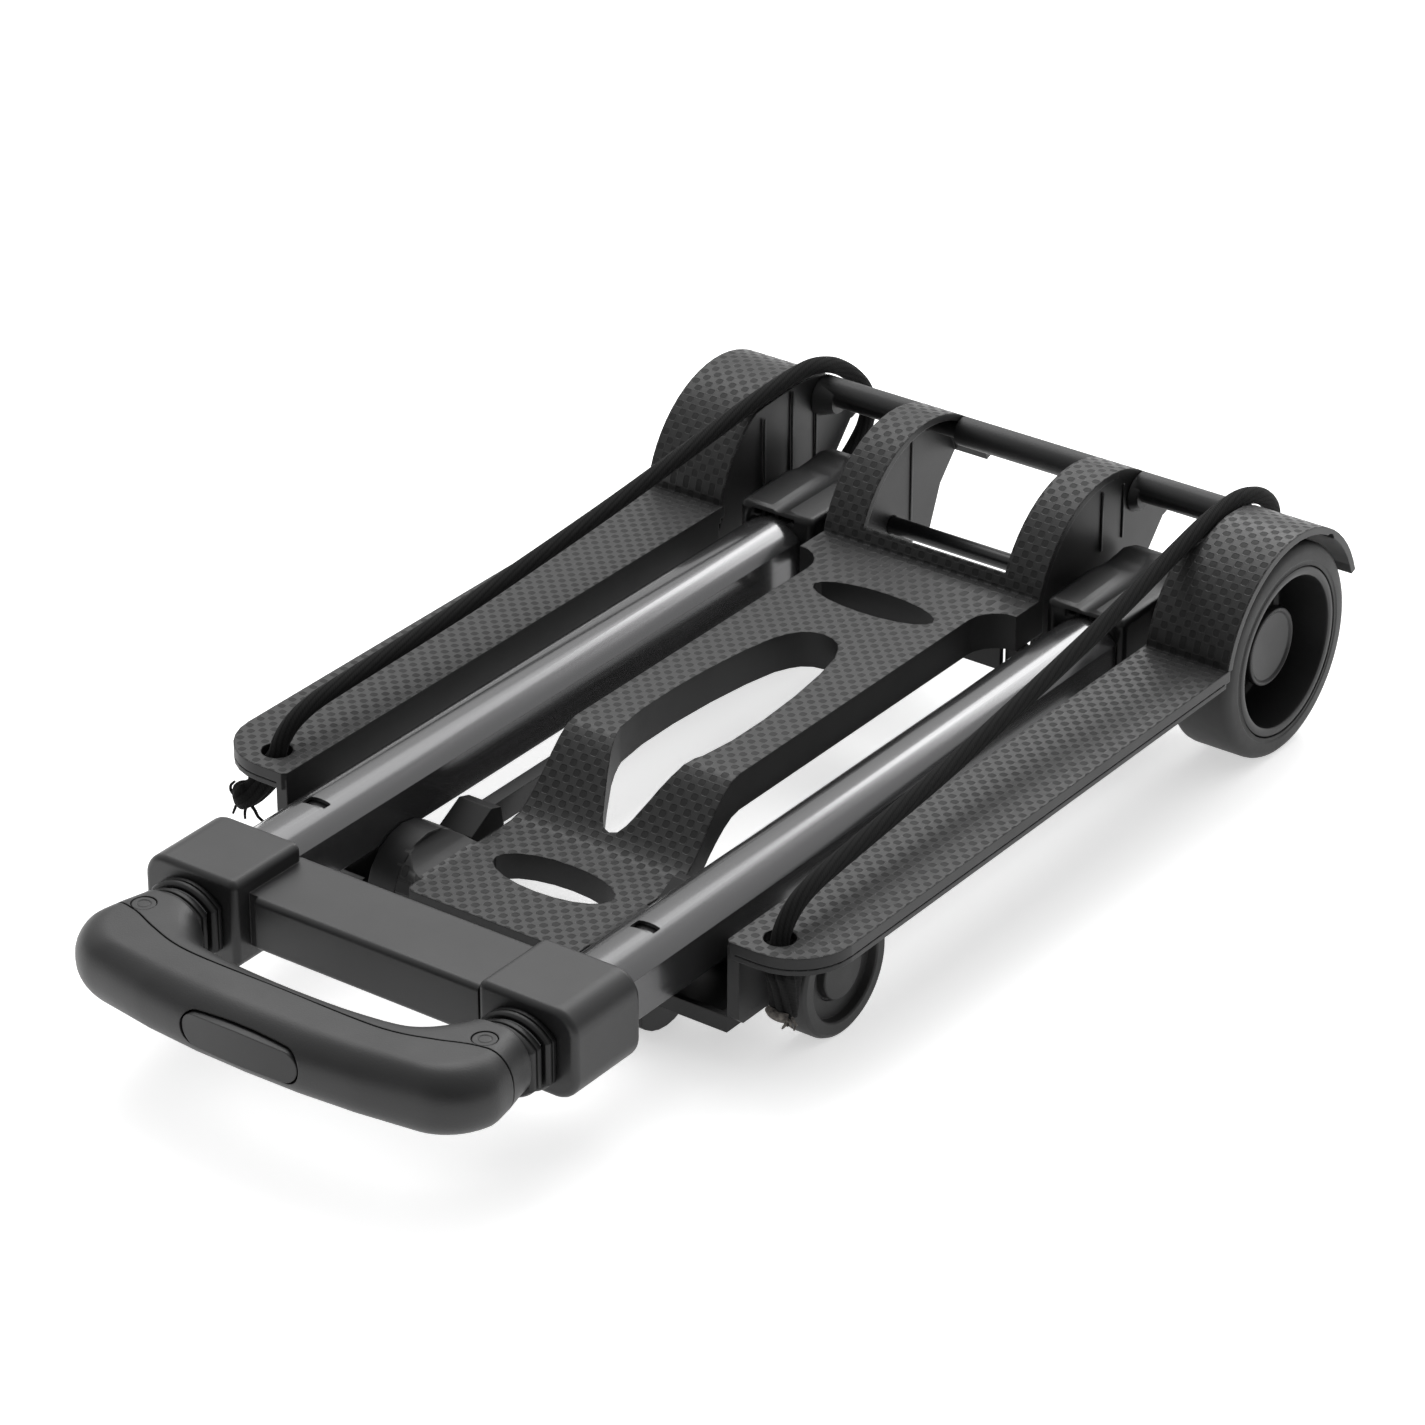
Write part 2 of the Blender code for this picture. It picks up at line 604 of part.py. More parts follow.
# ---------------------------------------------------------------- wheels
for side, sign in (("left", -1), ("right", 1)):

    def outward(profile, sign=sign):
        return [(r, sign * x) for r, x in profile]

    tread = [(TYRE_IN_R, WHEEL_IN), (37.5, WHEEL_IN), (WHEEL_R, 101.5), (WHEEL_R, 121.5)]
    tread += [(39.1, 123.4), (37.0, WHEEL_OUT), (TYRE_IN_R, WHEEL_OUT)]
    hub_y_z = (0.0, AXLE_Z)
    turned(side + "_rear_tyre", outward(tread), hub_y_z, 36, "X", TYRE)

    rim_r = TYRE_IN_R - GAP
    bore = AXLE_R + 0.08
    rim_profile = [(rim_r, 99.5), (rim_r, 123.4), (30.8, 124.0), (28.8, 124.0)]
    rim_profile += [(RIM_OPEN_R, 123.2), (RIM_OPEN_R, 103.2), (13.8, 103.2)]
    rim_profile += [(13.8, 114.8), (bore, 114.8), (bore, 99.5)]
    rim = turned(side + "_rear_rim", outward(rim_profile), hub_y_z, 30, "X", RIM)
    for k in range(6):
        turn = math.radians(30 + 60 * k)
        spot = (21.0 * math.cos(turn), AXLE_Z + 21.0 * math.sin(turn))
        low, high = span(sign, 98.0, 105.0)
        cut(rim, rod(f"{side}_rim_window_{k}", spot, 4.8, "X", low, high, 8))
    low, high = span(sign, 115.1, 118.2)
    bevel(rod(side + "_hub_cap", hub_y_z, HUB_R, "X", low, high, 20, RIM), 0.8, 1)

    inner_x, outer_x = FRONT_WHEEL_X
    small = [(3.07, inner_x + 0.8), (20.5, inner_x), (FRONT_WHEEL_R, inner_x + 2.0)]
    small += [(FRONT_WHEEL_R, outer_x - 2.0), (22.2, outer_x - 0.4), (20.5, outer_x)]
    small += [(17.8, outer_x), (17.3, outer_x - 3.5), (7.2, outer_x - 3.5)]
    small += [(7.0, outer_x - 1.2), (3.07, outer_x - 1.2)]
    axle_spot = (FRONT_WHEEL_Y, FRONT_WHEEL_R)
    turned(side + "_front_wheel", outward(small), axle_spot, 24, "X", TYRE)
    low, high = span(sign, WING_IN + GAP, outer_x - 1.6)
    rod(side + "_front_pin", axle_spot, 3.0, "X", low, high, 16, STEEL)

    inner_x, outer_x = ROLLER_X
    small = [(2.62, inner_x), (14.6, inner_x), (ROLLER_R, inner_x + 1.5)]
    small += [(ROLLER_R, outer_x - 1.5), (14.6, outer_x), (2.62, outer_x)]
    axle_spot = (ROLLER_Y, ROLLER_R)
    turned(side + "_roller", outward(small), axle_spot, 20, "X", TYRE)
    low, high = span(sign, 43.6, 55.0)
    rod(side + "_roller_pin", axle_spot, 2.5, "X", low, high, 14, STEEL)

# ---------------------------------------------------------------- mast, lower stage
SOCKET_SIDE = [(-43.0, 24.6), (-43.0, 57.0), (-14.0, 57.4), (-7.0, 56.0), (-1.0, 56.2)]
SOCKET_SIDE += [(7.0, 57.2), (13.0, 55.6), (16.8, 50.6), (16.8, 31.0), (12.0, 25.4)]
for side, sign in (("left", -1), ("right", 1)):
    centre_x = sign * MAST_X
    low, high = span(sign, 50.3, 83.0)
    socket = bevel(prism(side + "_socket", SOCKET_SIDE, "X", low, high, BLACK), 2.5, 2)
    cut(
        socket,
        prism(side + "_socket_bore", section(OUTER, -GAP, centre_x), "Y", -46.0, -9.7),
        rod(side + "_socket_pivot", (0.0, AXLE_Z), AXLE_R + 0.12, "X", low - 1, high + 1, 24),
    )
    tube = pipe(
        side + "_outer_tube",
        section(OUTER, 0.0, centre_x),
        section(OUTER, TUBE_WALL, centre_x),
        "Y",
        *OUTER_SPAN,
        ANODISED,
    )
    slot_y = MIDDLE_PIN_Y - STROKE
    slot_x = (centre_x - 4.5, centre_x + 4.5)
    cut(tube, box(side + "_lock_slot", slot_x, (slot_y - 2.5, slot_y + 2.5), (50, 55)))


def block_outline(sign):
    """Front view of a housing block: large radii outside, small ones inside."""
    x0, x1 = BLOCK_X
    z0, z1 = BLOCK_Z
    outline = arc(x1 - 9.0, z1 - 9.0, 9.0, 0.0, 90.0, 4)
    outline += arc(x0 + 3.0, z1 - 3.0, 3.0, 90.0, 180.0, 2)
    outline += arc(x0 + 3.0, z0 + 3.0, 3.0, 180.0, 270.0, 2)
    outline += arc(x1 - 9.0, z0 + 9.0, 9.0, 270.0, 360.0, 4)
    return mirror_x(outline, sign)


housing = box("cross_housing", (-53.0, 53.0), BRIDGE_Y, BRIDGE_Z, GRAIN)
bevel(housing, 1.4, 2)
for side, sign in (("left", -1), ("right", 1)):
    centre_x = sign * MAST_X
    block = bevel(prism(side + "_block", block_outline(sign), "Y", *BLOCK_Y), 1.2, 2)
    join(housing, block)
for side, sign in (("left", -1), ("right", 1)):
    centre_x = sign * MAST_X
    low, high = span(sign, 45.8, BLOCK_X[0])
    cut(
        housing,
        prism(side + "_tube_bore", section(OUTER, -GAP, centre_x), "Y", -362.3, -320.0),
        prism(side + "_stage_bore", section(MIDDLE, -0.5, centre_x), "Y", -370.0, -361.0),
        box(side + "_front_groove", (low, high), (-366.0, -358.4), (20, 60)),
    )

# ---------------------------------------------------------------- mast, middle and upper stages
RAMP_SLOPE = PIN_DROP / BUTTON_TRAVEL
for side, sign in (("left", -1), ("right", 1)):
    centre_x = sign * MAST_X
    tube = pipe(
        side + "_middle_tube",
        section(MIDDLE, 0.0, centre_x),
        section(MIDDLE, TUBE_WALL, centre_x),
        "Y",
        *MIDDLE_SPAN,
        ANODISED,
    )
    slot_y = INNER_PIN_Y - STROKE
    slot_x = (centre_x - 4.5, centre_x + 4.5)
    cut(tube, box(side + "_upper_lock_slot", slot_x, (slot_y - 2.5, slot_y + 2.5), (48, 53)))
    ring = section((13.4, 7.5, 13.6), 0.0, centre_x)
    pipe(side + "_middle_collar", ring, section(MIDDLE, -GAP, centre_x), "Y", -370.6, -365.9)

    foot_y = MIDDLE_SPAN[1]
    foot = prism(
        side + "_middle_foot",
        section(OUTER, TUBE_WALL + 0.35, centre_x),
        "Y",
        foot_y + GAP,
        foot_y + 13.0,
    )
    spigot = section(MIDDLE, TUBE_WALL + GAP, centre_x)
    join(foot, prism(side + "_middle_spigot", spigot, "Y", foot_y - 5.0, foot_y + 1.0))
    pin_y = (MIDDLE_PIN_Y - 1.9, MIDDLE_PIN_Y + 1.9)
    room_x = (centre_x - 3.9, centre_x + 3.9)
    cut(foot, box(side + "_middle_room", room_x, (pin_y[0] - 0.4, pin_y[1] + 0.4), (36, 54)))
    pin_x = (centre_x - 3.5, centre_x + 3.5)
    box(side + "_middle_pin", pin_x, pin_y, (40.0, 51.1), STEEL)

    tube = pipe(
        side + "_inner_tube",
        section(INNER, 0.0, centre_x),
        section(INNER, TUBE_WALL, centre_x),
        "Y",
        *INNER_SPAN,
        ANODISED,
    )
    ring = section((12.2, 7.0, 12.4), 0.0, centre_x)
    pipe(side + "_inner_collar", ring, section(INNER, -GAP, centre_x), "Y", -377.6, -371.5)

    foot_y = INNER_SPAN[1]
    foot = prism(
        side + "_inner_foot",
        section(MIDDLE, TUBE_WALL + 0.35, centre_x),
        "Y",
        foot_y + GAP,
        foot_y + 14.6,
    )
    spigot = section(INNER, TUBE_WALL + GAP, centre_x)
    join(foot, prism(side + "_inner_spigot", spigot, "Y", foot_y - 5.0, foot_y + 1.0))
    block = (INNER_PIN_Y - 1.75, INNER_PIN_Y + 1.75)
    toe = foot_y - 2.0
    ramp_low = 39.2
    ramp_high = ramp_low + RAMP_SLOPE * (block[0] - toe)
    room_x = (centre_x - 3.4, centre_x + 3.4)
    cut(foot, box(side + "_inner_room", room_x, (toe - 4.0, block[1] + 0.4), (31.0, 52.0)))
    pin = [(toe, 34.8), (block[1], 34.8), (block[1], 49.4), (block[0], 49.4)]
    pin += [(block[0], ramp_high), (toe, ramp_low)]
    prism(side + "_inner_pin", pin, "X", centre_x - 3.0, centre_x + 3.0, STEEL)

    push = rod(
        side + "_release_rod", (centre_x, AXLE_Z), ROD_R, "Y", -404.0, block[0], 12, STEEL
    )
    lift = 0.45
    below = [(toe - 12.0, ramp_low - 12.0 * RAMP_SLOPE + lift), (toe - 12.0, 30.0)]
    below += [(block[0] + 4.0, 30.0), (block[0] + 4.0, ramp_high + 4.0 * RAMP_SLOPE + lift)]
    low, high = centre_x - 5, centre_x + 5
    cut(push, prism(side + "_rod_slant", below, "X", low, high))
    cut(foot, rod(side + "_rod_way", (centre_x, AXLE_Z), 2.5, "Y", foot_y - 6, toe, 12))

# ---------------------------------------------------------------- grip
SEAM = [(0.0, -401.2), (30.0, -401.8), (45.0, -400.5), (58.0, -396.4)]
SEAM += [(68.0, -392.4), (78.0, -390.6), (92.0, -390.0)]


def grip_plan():
    """Plan outline of the whole grip: a bowed bar with two arms, drawn for +X and mirrored."""
    outer = [(GRIP_HALF - 4.8, -366.0), (GRIP_HALF - 4.2, -380.0), (GRIP_HALF - 1.8, -390.0)]
    outer += arc(GRIP_HALF - 22.0, -395.0, 22.0, 350.0, 285.0, 5)
    outer += [(44.0, -420.6), (22.0, -422.8), (0.0, GRIP_FRONT)]
    inner = [(55.2, -366.0), (53.4, -376.0), (50.2, -381.2), (44.6, -387.0)]
    inner += [(37.4, -390.4), (22.0, -391.8), (0.0, -392.1)]
    left_outer = [(-x, y) for x, y in reversed(outer[:-1])]
    left_inner = [(-x, y) for x, y in inner]
    return outer + left_outer + left_inner[:-1] + list(reversed(inner))


def seam_plan(shift):
    """Plan outline of the side towards the mast, up to the seam between the two shells."""
    line = [(x, y + shift) for x, y in SEAM]
    mirrored = [(-x, y) for x, y in reversed(line[1:])]
    return mirrored + line + [(92.0, GRIP_BACK), (-92.0, GRIP_BACK)]


def whole_grip(name, skin):
    grip = bevel(prism(name, grip_plan(), "Z", *GRIP_Z, skin), 9.4, 4, 60.0)
    keep(grip, box(name + "_ends", (-95, 95), (-430, GRIP_BACK), (20, 60)))
    return grip


shell = whole_grip("grip_shell", GRAIN)
cut(shell, prism("shell_side", seam_plan(0.0), "Z", 20, 60))
insert = whole_grip("grip_insert", GRAIN)
keep(insert, prism("insert_side", seam_plan(GAP), "Z", 20, 60))


def button_outline(grow):
    """Front view of the button: a long lozenge with round ends and an arched top."""
    z0, z1 = BUTTON_Z
    radius = (z1 - z0) / 2 + grow
    mid = (z0 + z1) / 2
    reach = BUTTON_HALF + grow - radius
    ends = arc(reach, mid, radius, -90.0, 90.0, 6)
    return ends + [(0.0, z1 + grow + 0.8)] + [(-x, z) for x, z in reversed(ends)]


pocket = prism("button_pocket", button_outline(0.5), "Y", -430.0, -408.0)
channel = box("yoke_channel", (-71.0, 71.0), (-412.8, -403.6), (36.4, 43.6))
spring_seat = rod("spring_seat", (0.0, AXLE_Z), 4.2, "Y", -405.0, -397.0, 16)
cut(shell, pocket, channel, spring_seat)
cut(insert, spring_seat)

button = prism("grip_button", button_outline(0.0), "Y", -424.6, -413.2, BUTTON)
face = arc(0.0, -224.0, 199.7, 262.0, 278.0, 12)
keep(button, prism("button_face", face + [(30.0, -405.0), (-30.0, -405.0)], "Z", 30, 60))
yoke = box("release_yoke", (-70.4, 70.4), (-412.2, -408.0), (37.0, 43.0), STEEL)

for side, sign in (("left", -1), ("right", 1)):
    centre_x = sign * MAST_X
    cut(shell, rod(side + "_shell_rod_way", (centre_x, AXLE_Z), 2.5, "Y", -411.0, -380.0, 12))
    cut(
        insert,
        prism(side + "_arm_bore", section(INNER, -GAP, centre_x), "Y", -388.4, -370.0),
        rod(side + "_insert_rod_way", (centre_x, AXLE_Z), 2.5, "Y", -396.0, -380.0, 12),
        rod(side + "_plug_seat", (sign * 69.5, -386.8), 4.4, "Z", 52.0, 58.0, 16),
    )
    cut(yoke, rod(side + "_yoke_hole", (centre_x, AXLE_Z), ROD_R + GAP, "Y", -409.8, -400, 12))
    rod(side + "_grip_plug", (sign * 69.5, -386.8), 4.1, "Z", 52.3, 53.8, 16, GRAIN)

# Return spring between the yoke and the seat in the grip
SPRING_R = 2.9
WIRE_R = 0.35
COILS = 4
coil = []
for k in range(COILS * 8 + 1):
    turn = 2 * math.pi * k / 8
    along = -407.3 + (407.3 - 397.8) * k / (COILS * 8)
    coil.append(Vector((SPRING_R * math.cos(turn), along, AXLE_Z + SPRING_R * math.sin(turn))))
swept("button_spring", coil, WIRE_R, 4, STEEL)


# ---------------------------------------------------------------- what moves with what
def carry(name, spot, nodes, parent=None):
    """An empty on a joint's axis, which carries the pieces of one moving body."""
    pivot = bpy.data.objects.new(name, None)
    bpy.context.scene.collection.objects.link(pivot)
    pivot["spot"] = at(*spot)
    above = Vector(parent["spot"]) if parent else Vector((0.0, 0.0, 0.0))
    pivot.parent = parent
    pivot.location = Vector(pivot["spot"]) - above
    for node in nodes:
        obj = bpy.data.objects[node]
        obj.parent = pivot
        obj.location = -Vector(pivot["spot"])
    return pivot


def pair(*names):
    return [f"{side}_{name}" for name in names for side in ("left", "right")]


mast = carry(
    "mast_pivot", (0.0, 0.0, AXLE_Z), pair("socket", "outer_tube") + ["cross_housing"]
)
middle = carry(
    "middle_slide",
    (0.0, MIDDLE_SPAN[1], AXLE_Z),
    pair("middle_tube", "middle_collar", "middle_foot"),
    mast,
)
carry("middle_pin_slide", (0.0, MIDDLE_PIN_Y, AXLE_Z), pair("middle_pin"), middle)
upper = carry(
    "upper_slide",
    (0.0, INNER_SPAN[1], AXLE_Z),
    pair("inner_tube", "inner_collar", "inner_foot", "grip_plug")
    + ["grip_shell", "grip_insert", "button_spring"],
    middle,
)
carry("inner_pin_slide", (0.0, INNER_PIN_Y, AXLE_Z), pair("inner_pin"), upper)
carry(
    "button_slide",
    (0.0, -413.2, AXLE_Z),
    ["grip_button", "release_yoke"] + pair("release_rod"),
    upper,
)
for side, sign in (("left", -1), ("right", 1)):
    wheel_x = sign * (WHEEL_IN + WHEEL_OUT) / 2
    wheel = [f"{side}_{name}" for name in ("rear_tyre", "rear_rim", "hub_cap")]
    carry(side + "_rear_wheel_axis", (wheel_x, 0.0, AXLE_Z), wheel)
    wheel_x = sign * sum(FRONT_WHEEL_X) / 2
    spot = (wheel_x, FRONT_WHEEL_Y, FRONT_WHEEL_R)
    carry(side + "_front_wheel_axis", spot, [side + "_front_wheel"])
    spot = (sign * sum(ROLLER_X) / 2, ROLLER_Y, ROLLER_R)
    carry(side + "_roller_axis", spot, [side + "_roller"])
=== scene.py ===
"""Studio picture of the folding luggage trolley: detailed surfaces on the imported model."""

import json
import math

import bmesh
import bpy
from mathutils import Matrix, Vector


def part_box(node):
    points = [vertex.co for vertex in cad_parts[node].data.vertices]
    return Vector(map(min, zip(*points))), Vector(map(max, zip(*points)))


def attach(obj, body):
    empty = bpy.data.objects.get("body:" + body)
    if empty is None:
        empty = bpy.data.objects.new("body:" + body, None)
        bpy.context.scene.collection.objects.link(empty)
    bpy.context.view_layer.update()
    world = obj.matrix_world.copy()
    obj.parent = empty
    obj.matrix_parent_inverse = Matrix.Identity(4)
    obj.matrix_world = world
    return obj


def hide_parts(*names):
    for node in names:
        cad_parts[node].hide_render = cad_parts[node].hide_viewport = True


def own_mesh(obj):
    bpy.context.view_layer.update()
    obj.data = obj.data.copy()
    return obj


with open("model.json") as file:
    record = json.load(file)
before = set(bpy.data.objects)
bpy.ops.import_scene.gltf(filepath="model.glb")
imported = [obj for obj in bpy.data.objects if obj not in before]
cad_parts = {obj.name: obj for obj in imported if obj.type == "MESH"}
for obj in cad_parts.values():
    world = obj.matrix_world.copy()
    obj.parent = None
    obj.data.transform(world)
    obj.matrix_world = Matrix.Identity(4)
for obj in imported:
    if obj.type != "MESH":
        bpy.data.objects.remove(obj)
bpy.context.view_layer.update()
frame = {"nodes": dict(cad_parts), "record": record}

# Sizes are in millimetres, with Y counted from the rear axle, as on the drawing.
MM = 0.001
AXLE_Y = 189.95
AXLE_Z = 40.0
GAP = 0.3
SIDES = (("left", -1), ("right", 1))
GUARD_Y, GUARD_Z, GUARD_R = 1.5, 40.9, 44.6
MAST_X = 68.0
OUTER = (12.25, 7.5, 13.25)
MIDDLE = (10.5, 7.0, 11.5)
INNER = (8.8, 6.5, 9.8)
TUBE_WALL = 1.3
CELL = 2.9
CORD_R = 3.15
DECK_TOP, NOSE_TOP = 53.6, 28.4
SLOPE_FRONT, SLOPE_RUN = -240.0, 35.0
BRAID_SIDES = 48


def at(x, y, z):
    return Vector((x * MM, (y + AXLE_Y) * MM, z * MM))


# ---------------------------------------------------------------- shapes
def link(obj):
    bpy.context.scene.collection.objects.link(obj)
    return obj


def smooth(data, angle=32.0):
    data.shade_smooth()
    data.set_sharp_from_angle(angle=math.radians(angle))


def mesh_object(name, points, faces, skin):
    data = bpy.data.meshes.new(name)
    build = bmesh.new()
    made = [build.verts.new(at(*point)) for point in points]
    for face in faces:
        build.faces.new([made[i] for i in face])
    bmesh.ops.recalc_face_normals(build, faces=build.faces)
    build.to_mesh(data)
    build.free()
    data.materials.append(skin)
    smooth(data)
    return link(bpy.data.objects.new(name, data))


def placed(axis, a, b, along):
    """A point of an outline drawn across an axis: (Y, Z) for X, (X, Z) for Y, (X, Y) for Z."""
    return {"X": (along, a, b), "Y": (a, along, b), "Z": (a, b, along)}[axis]


def prism(name, outline, axis, low, high, skin):
    n = len(outline)
    points = [placed(axis, a, b, low) for a, b in outline]
    points += [placed(axis, a, b, high) for a, b in outline]
    faces = [tuple(range(n)), tuple(range(n, 2 * n))]
    faces += [(i, (i + 1) % n, n + (i + 1) % n, n + i) for i in range(n)]
    return mesh_object(name, points, faces, skin)


def rings(name, loops, skin):
    """Loops of points with as many points each, joined in turn and closed into a ring of loops."""
    n = len(loops[0])
    points = [point for loop in loops for point in loop]
    faces = []
    for k in range(len(loops)):
        here, there = k * n, (k + 1) % len(loops) * n
        for i in range(n):
            j = (i + 1) % n
            faces.append((here + i, here + j, there + j, there + i))
    return mesh_object(name, points, faces, skin)


def pipe(name, size, wall, x, low, high, skin, lip=0.35):
    """A hollow tube along Y with slightly rounded end lips."""
    outer = section(size, 0.0, x)
    eased = section(size, lip, x)
    inner = section(size, wall, x)
    order = ((outer, low + lip), (outer, high - lip), (eased, high), (inner, high))
    order += ((inner, low), (eased, low))
    loops = [[(a, along, b) for a, b in ring] for ring, along in order]
    return rings(name, loops, skin)


def turned(name, profile, centre, steps, skin, axis="X"):
    """A closed (radius, along) profile turned about an axis through centre."""
    loops = []
    for k in range(steps):
        turn = 2 * math.pi * k / steps
        loop = []
        for radius, along in profile:
            a = centre[0] + radius * math.cos(turn)
            b = centre[1] + radius * math.sin(turn)
            loop.append(placed(axis, a, b, along))
        loops.append(loop)
    return rings(name, loops, skin)


def arc(ca, cb, radius, start, end, steps):
    turns = [math.radians(start + (end - start) * k / steps) for k in range(steps + 1)]
    return [(ca + radius * math.cos(t), cb + radius * math.sin(t)) for t in turns]


def section(size, inset=0.0, x=0.0, z=AXLE_Z, steps=14):
    """Tube section: straight flanks joined by arcs over the top and under the bottom."""
    half, flank, crown = size[0] - inset, size[1], size[2] - inset
    rise = crown - flank
    radius = (half * half + rise * rise) / (2 * rise)
    spread = math.degrees(math.asin(half / radius))
    over = arc(x, z + crown - radius, radius, 90 - spread, 90 + spread, steps)
    under = arc(x, z - crown + radius, radius, 270 - spread, 270 + spread, steps)
    return over + under


def box(name, xs, ys, zs, skin):
    outline = [(xs[0], ys[0]), (xs[1], ys[0]), (xs[1], ys[1]), (xs[0], ys[1])]
    return prism(name, outline, "Z", zs[0], zs[1], skin)


def span(sign, low, high):
    return sorted((sign * low, sign * high))


def bevel(obj, width, segments=3, angle=35.0):
    step = obj.modifiers.new("bevel", "BEVEL")
    step.width = width * MM
    step.segments = segments
    step.limit_method = "ANGLE"
    step.angle_limit = math.radians(angle)
    return obj


def combined(target, tool, operation):
    """One Boolean step, applied at once, and the tool removed."""
    step = target.modifiers.new("step", "BOOLEAN")
    step.operation = operation
    step.solver = "EXACT"
    step.object = tool
    bake(target)
    bpy.data.objects.remove(tool)
    return target


def cut(target, *tools):
    for tool in tools:
        combined(target, tool, "DIFFERENCE")


def bake(obj):
    """The mesh as its modifiers leave it."""
    graph = bpy.context.evaluated_depsgraph_get()
    data = bpy.data.meshes.new_from_object(obj.evaluated_get(graph))
    obj.modifiers.clear()
    obj.data = data
    smooth(data)
    return obj


def weighted(obj):
    """Flat faces stay flat next to rounded edges."""
    step = obj.modifiers.new("normals", "WEIGHTED_NORMAL")
    step.keep_sharp = True
    return obj


def place(obj, body, slot, *nodes):
    """The piece rides on a body and stands for CAD nodes, which it hides. The slot is not used."""
    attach(obj, body)
    if nodes:
        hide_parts(*nodes)
    return obj


# ---------------------------------------------------------------- surfaces
class Skin:
    """A node material under construction."""

    def __init__(self, name, colour, roughness, metallic=0.0, edge=0.5):
        self.material = bpy.data.materials.new(name)
        self.material.use_nodes = True
        self.tree = self.material.node_tree
        self.shader = self.tree.nodes["Principled BSDF"]
        self.set("Base Color", (*colour, 1.0))
        self.set("Roughness", roughness)
        self.set("Metallic", metallic)
        self.normal = None
        if edge:
            rounded = self.node("ShaderNodeBevel", samples=4)
            rounded.inputs["Radius"].default_value = edge * MM
            self.normal = rounded.outputs["Normal"]
            self.join(self.normal, self.shader.inputs["Normal"])

    def node(self, kind, **settings):
        made = self.tree.nodes.new(kind)
        for key, value in settings.items():
            setattr(made, key, value)
        return made

    def join(self, source, target):
        self.tree.links.new(source, target)

    def set(self, socket, value):
        self.shader.inputs[socket].default_value = value

    def math(self, operation, a, b=0.0):
        made = self.node("ShaderNodeMath", operation=operation)
        for k, value in enumerate((a, b)):
            if isinstance(value, (int, float)):
                made.inputs[k].default_value = value
            else:
                self.join(value, made.inputs[k])
        return made.outputs[0]

    def noise(self, scale, detail=2.0, roughness=0.5, stretch=None):
        coords = self.node("ShaderNodeTexCoord").outputs["Object"]
        if stretch:
            mapping = self.node("ShaderNodeMapping")
            mapping.inputs["Scale"].default_value = stretch
            self.join(coords, mapping.inputs["Vector"])
            coords = mapping.outputs["Vector"]
        made = self.node("ShaderNodeTexNoise")
        made.inputs["Scale"].default_value = scale
        made.inputs["Detail"].default_value = detail
        made.inputs["Roughness"].default_value = roughness
        self.join(coords, made.inputs["Vector"])
        return made.outputs["Fac"]

    def ramp(self, factor, stops, socket):
        """A colour ramp over (position, grey or colour) stops, joined to a shader socket."""
        made = self.node("ShaderNodeValToRGB")
        elements = made.color_ramp.elements
        while len(elements) < len(stops):
            elements.new(0.5)
        for element, (position, value) in zip(elements, stops):
            element.position = position
            shade = value if isinstance(value, tuple) else (value, value, value)
            element.color = (*shade, 1.0)
        self.join(factor, made.inputs["Fac"])
        self.join(made.outputs["Color"], self.shader.inputs[socket])

    def bump(self, height, depth, strength=1.0):
        """Relief of a height from 0 to 1, so many millimetres deep."""
        made = self.node("ShaderNodeBump")
        made.inputs["Distance"].default_value = depth * MM
        made.inputs["Strength"].default_value = strength
        self.join(height, made.inputs["Height"])
        if self.normal is not None:
            self.join(self.normal, made.inputs["Normal"])
        self.normal = made.outputs["Normal"]
        self.join(self.normal, self.shader.inputs["Normal"])


def grained(name, colour, roughness, grain=2600.0, depth=0.02, edge=0.6):
    """Moulded plastic: fine spark-eroded grain, faint flow marks and worn, shinier patches."""
    skin = Skin(name, colour, roughness, edge=edge)
    fine = skin.noise(grain, 2.0, 0.6)
    skin.bump(fine, depth)
    cloudy = skin.noise(38.0, 4.0, 0.6)
    darker = tuple(c * 0.86 for c in colour)
    lighter = tuple(c * 1.16 for c in colour)
    skin.ramp(cloudy, [(0.3, darker), (0.7, lighter)], "Base Color")
    skin.ramp(cloudy, [(0.3, roughness - 0.04), (0.72, roughness + 0.05)], "Roughness")
    return skin


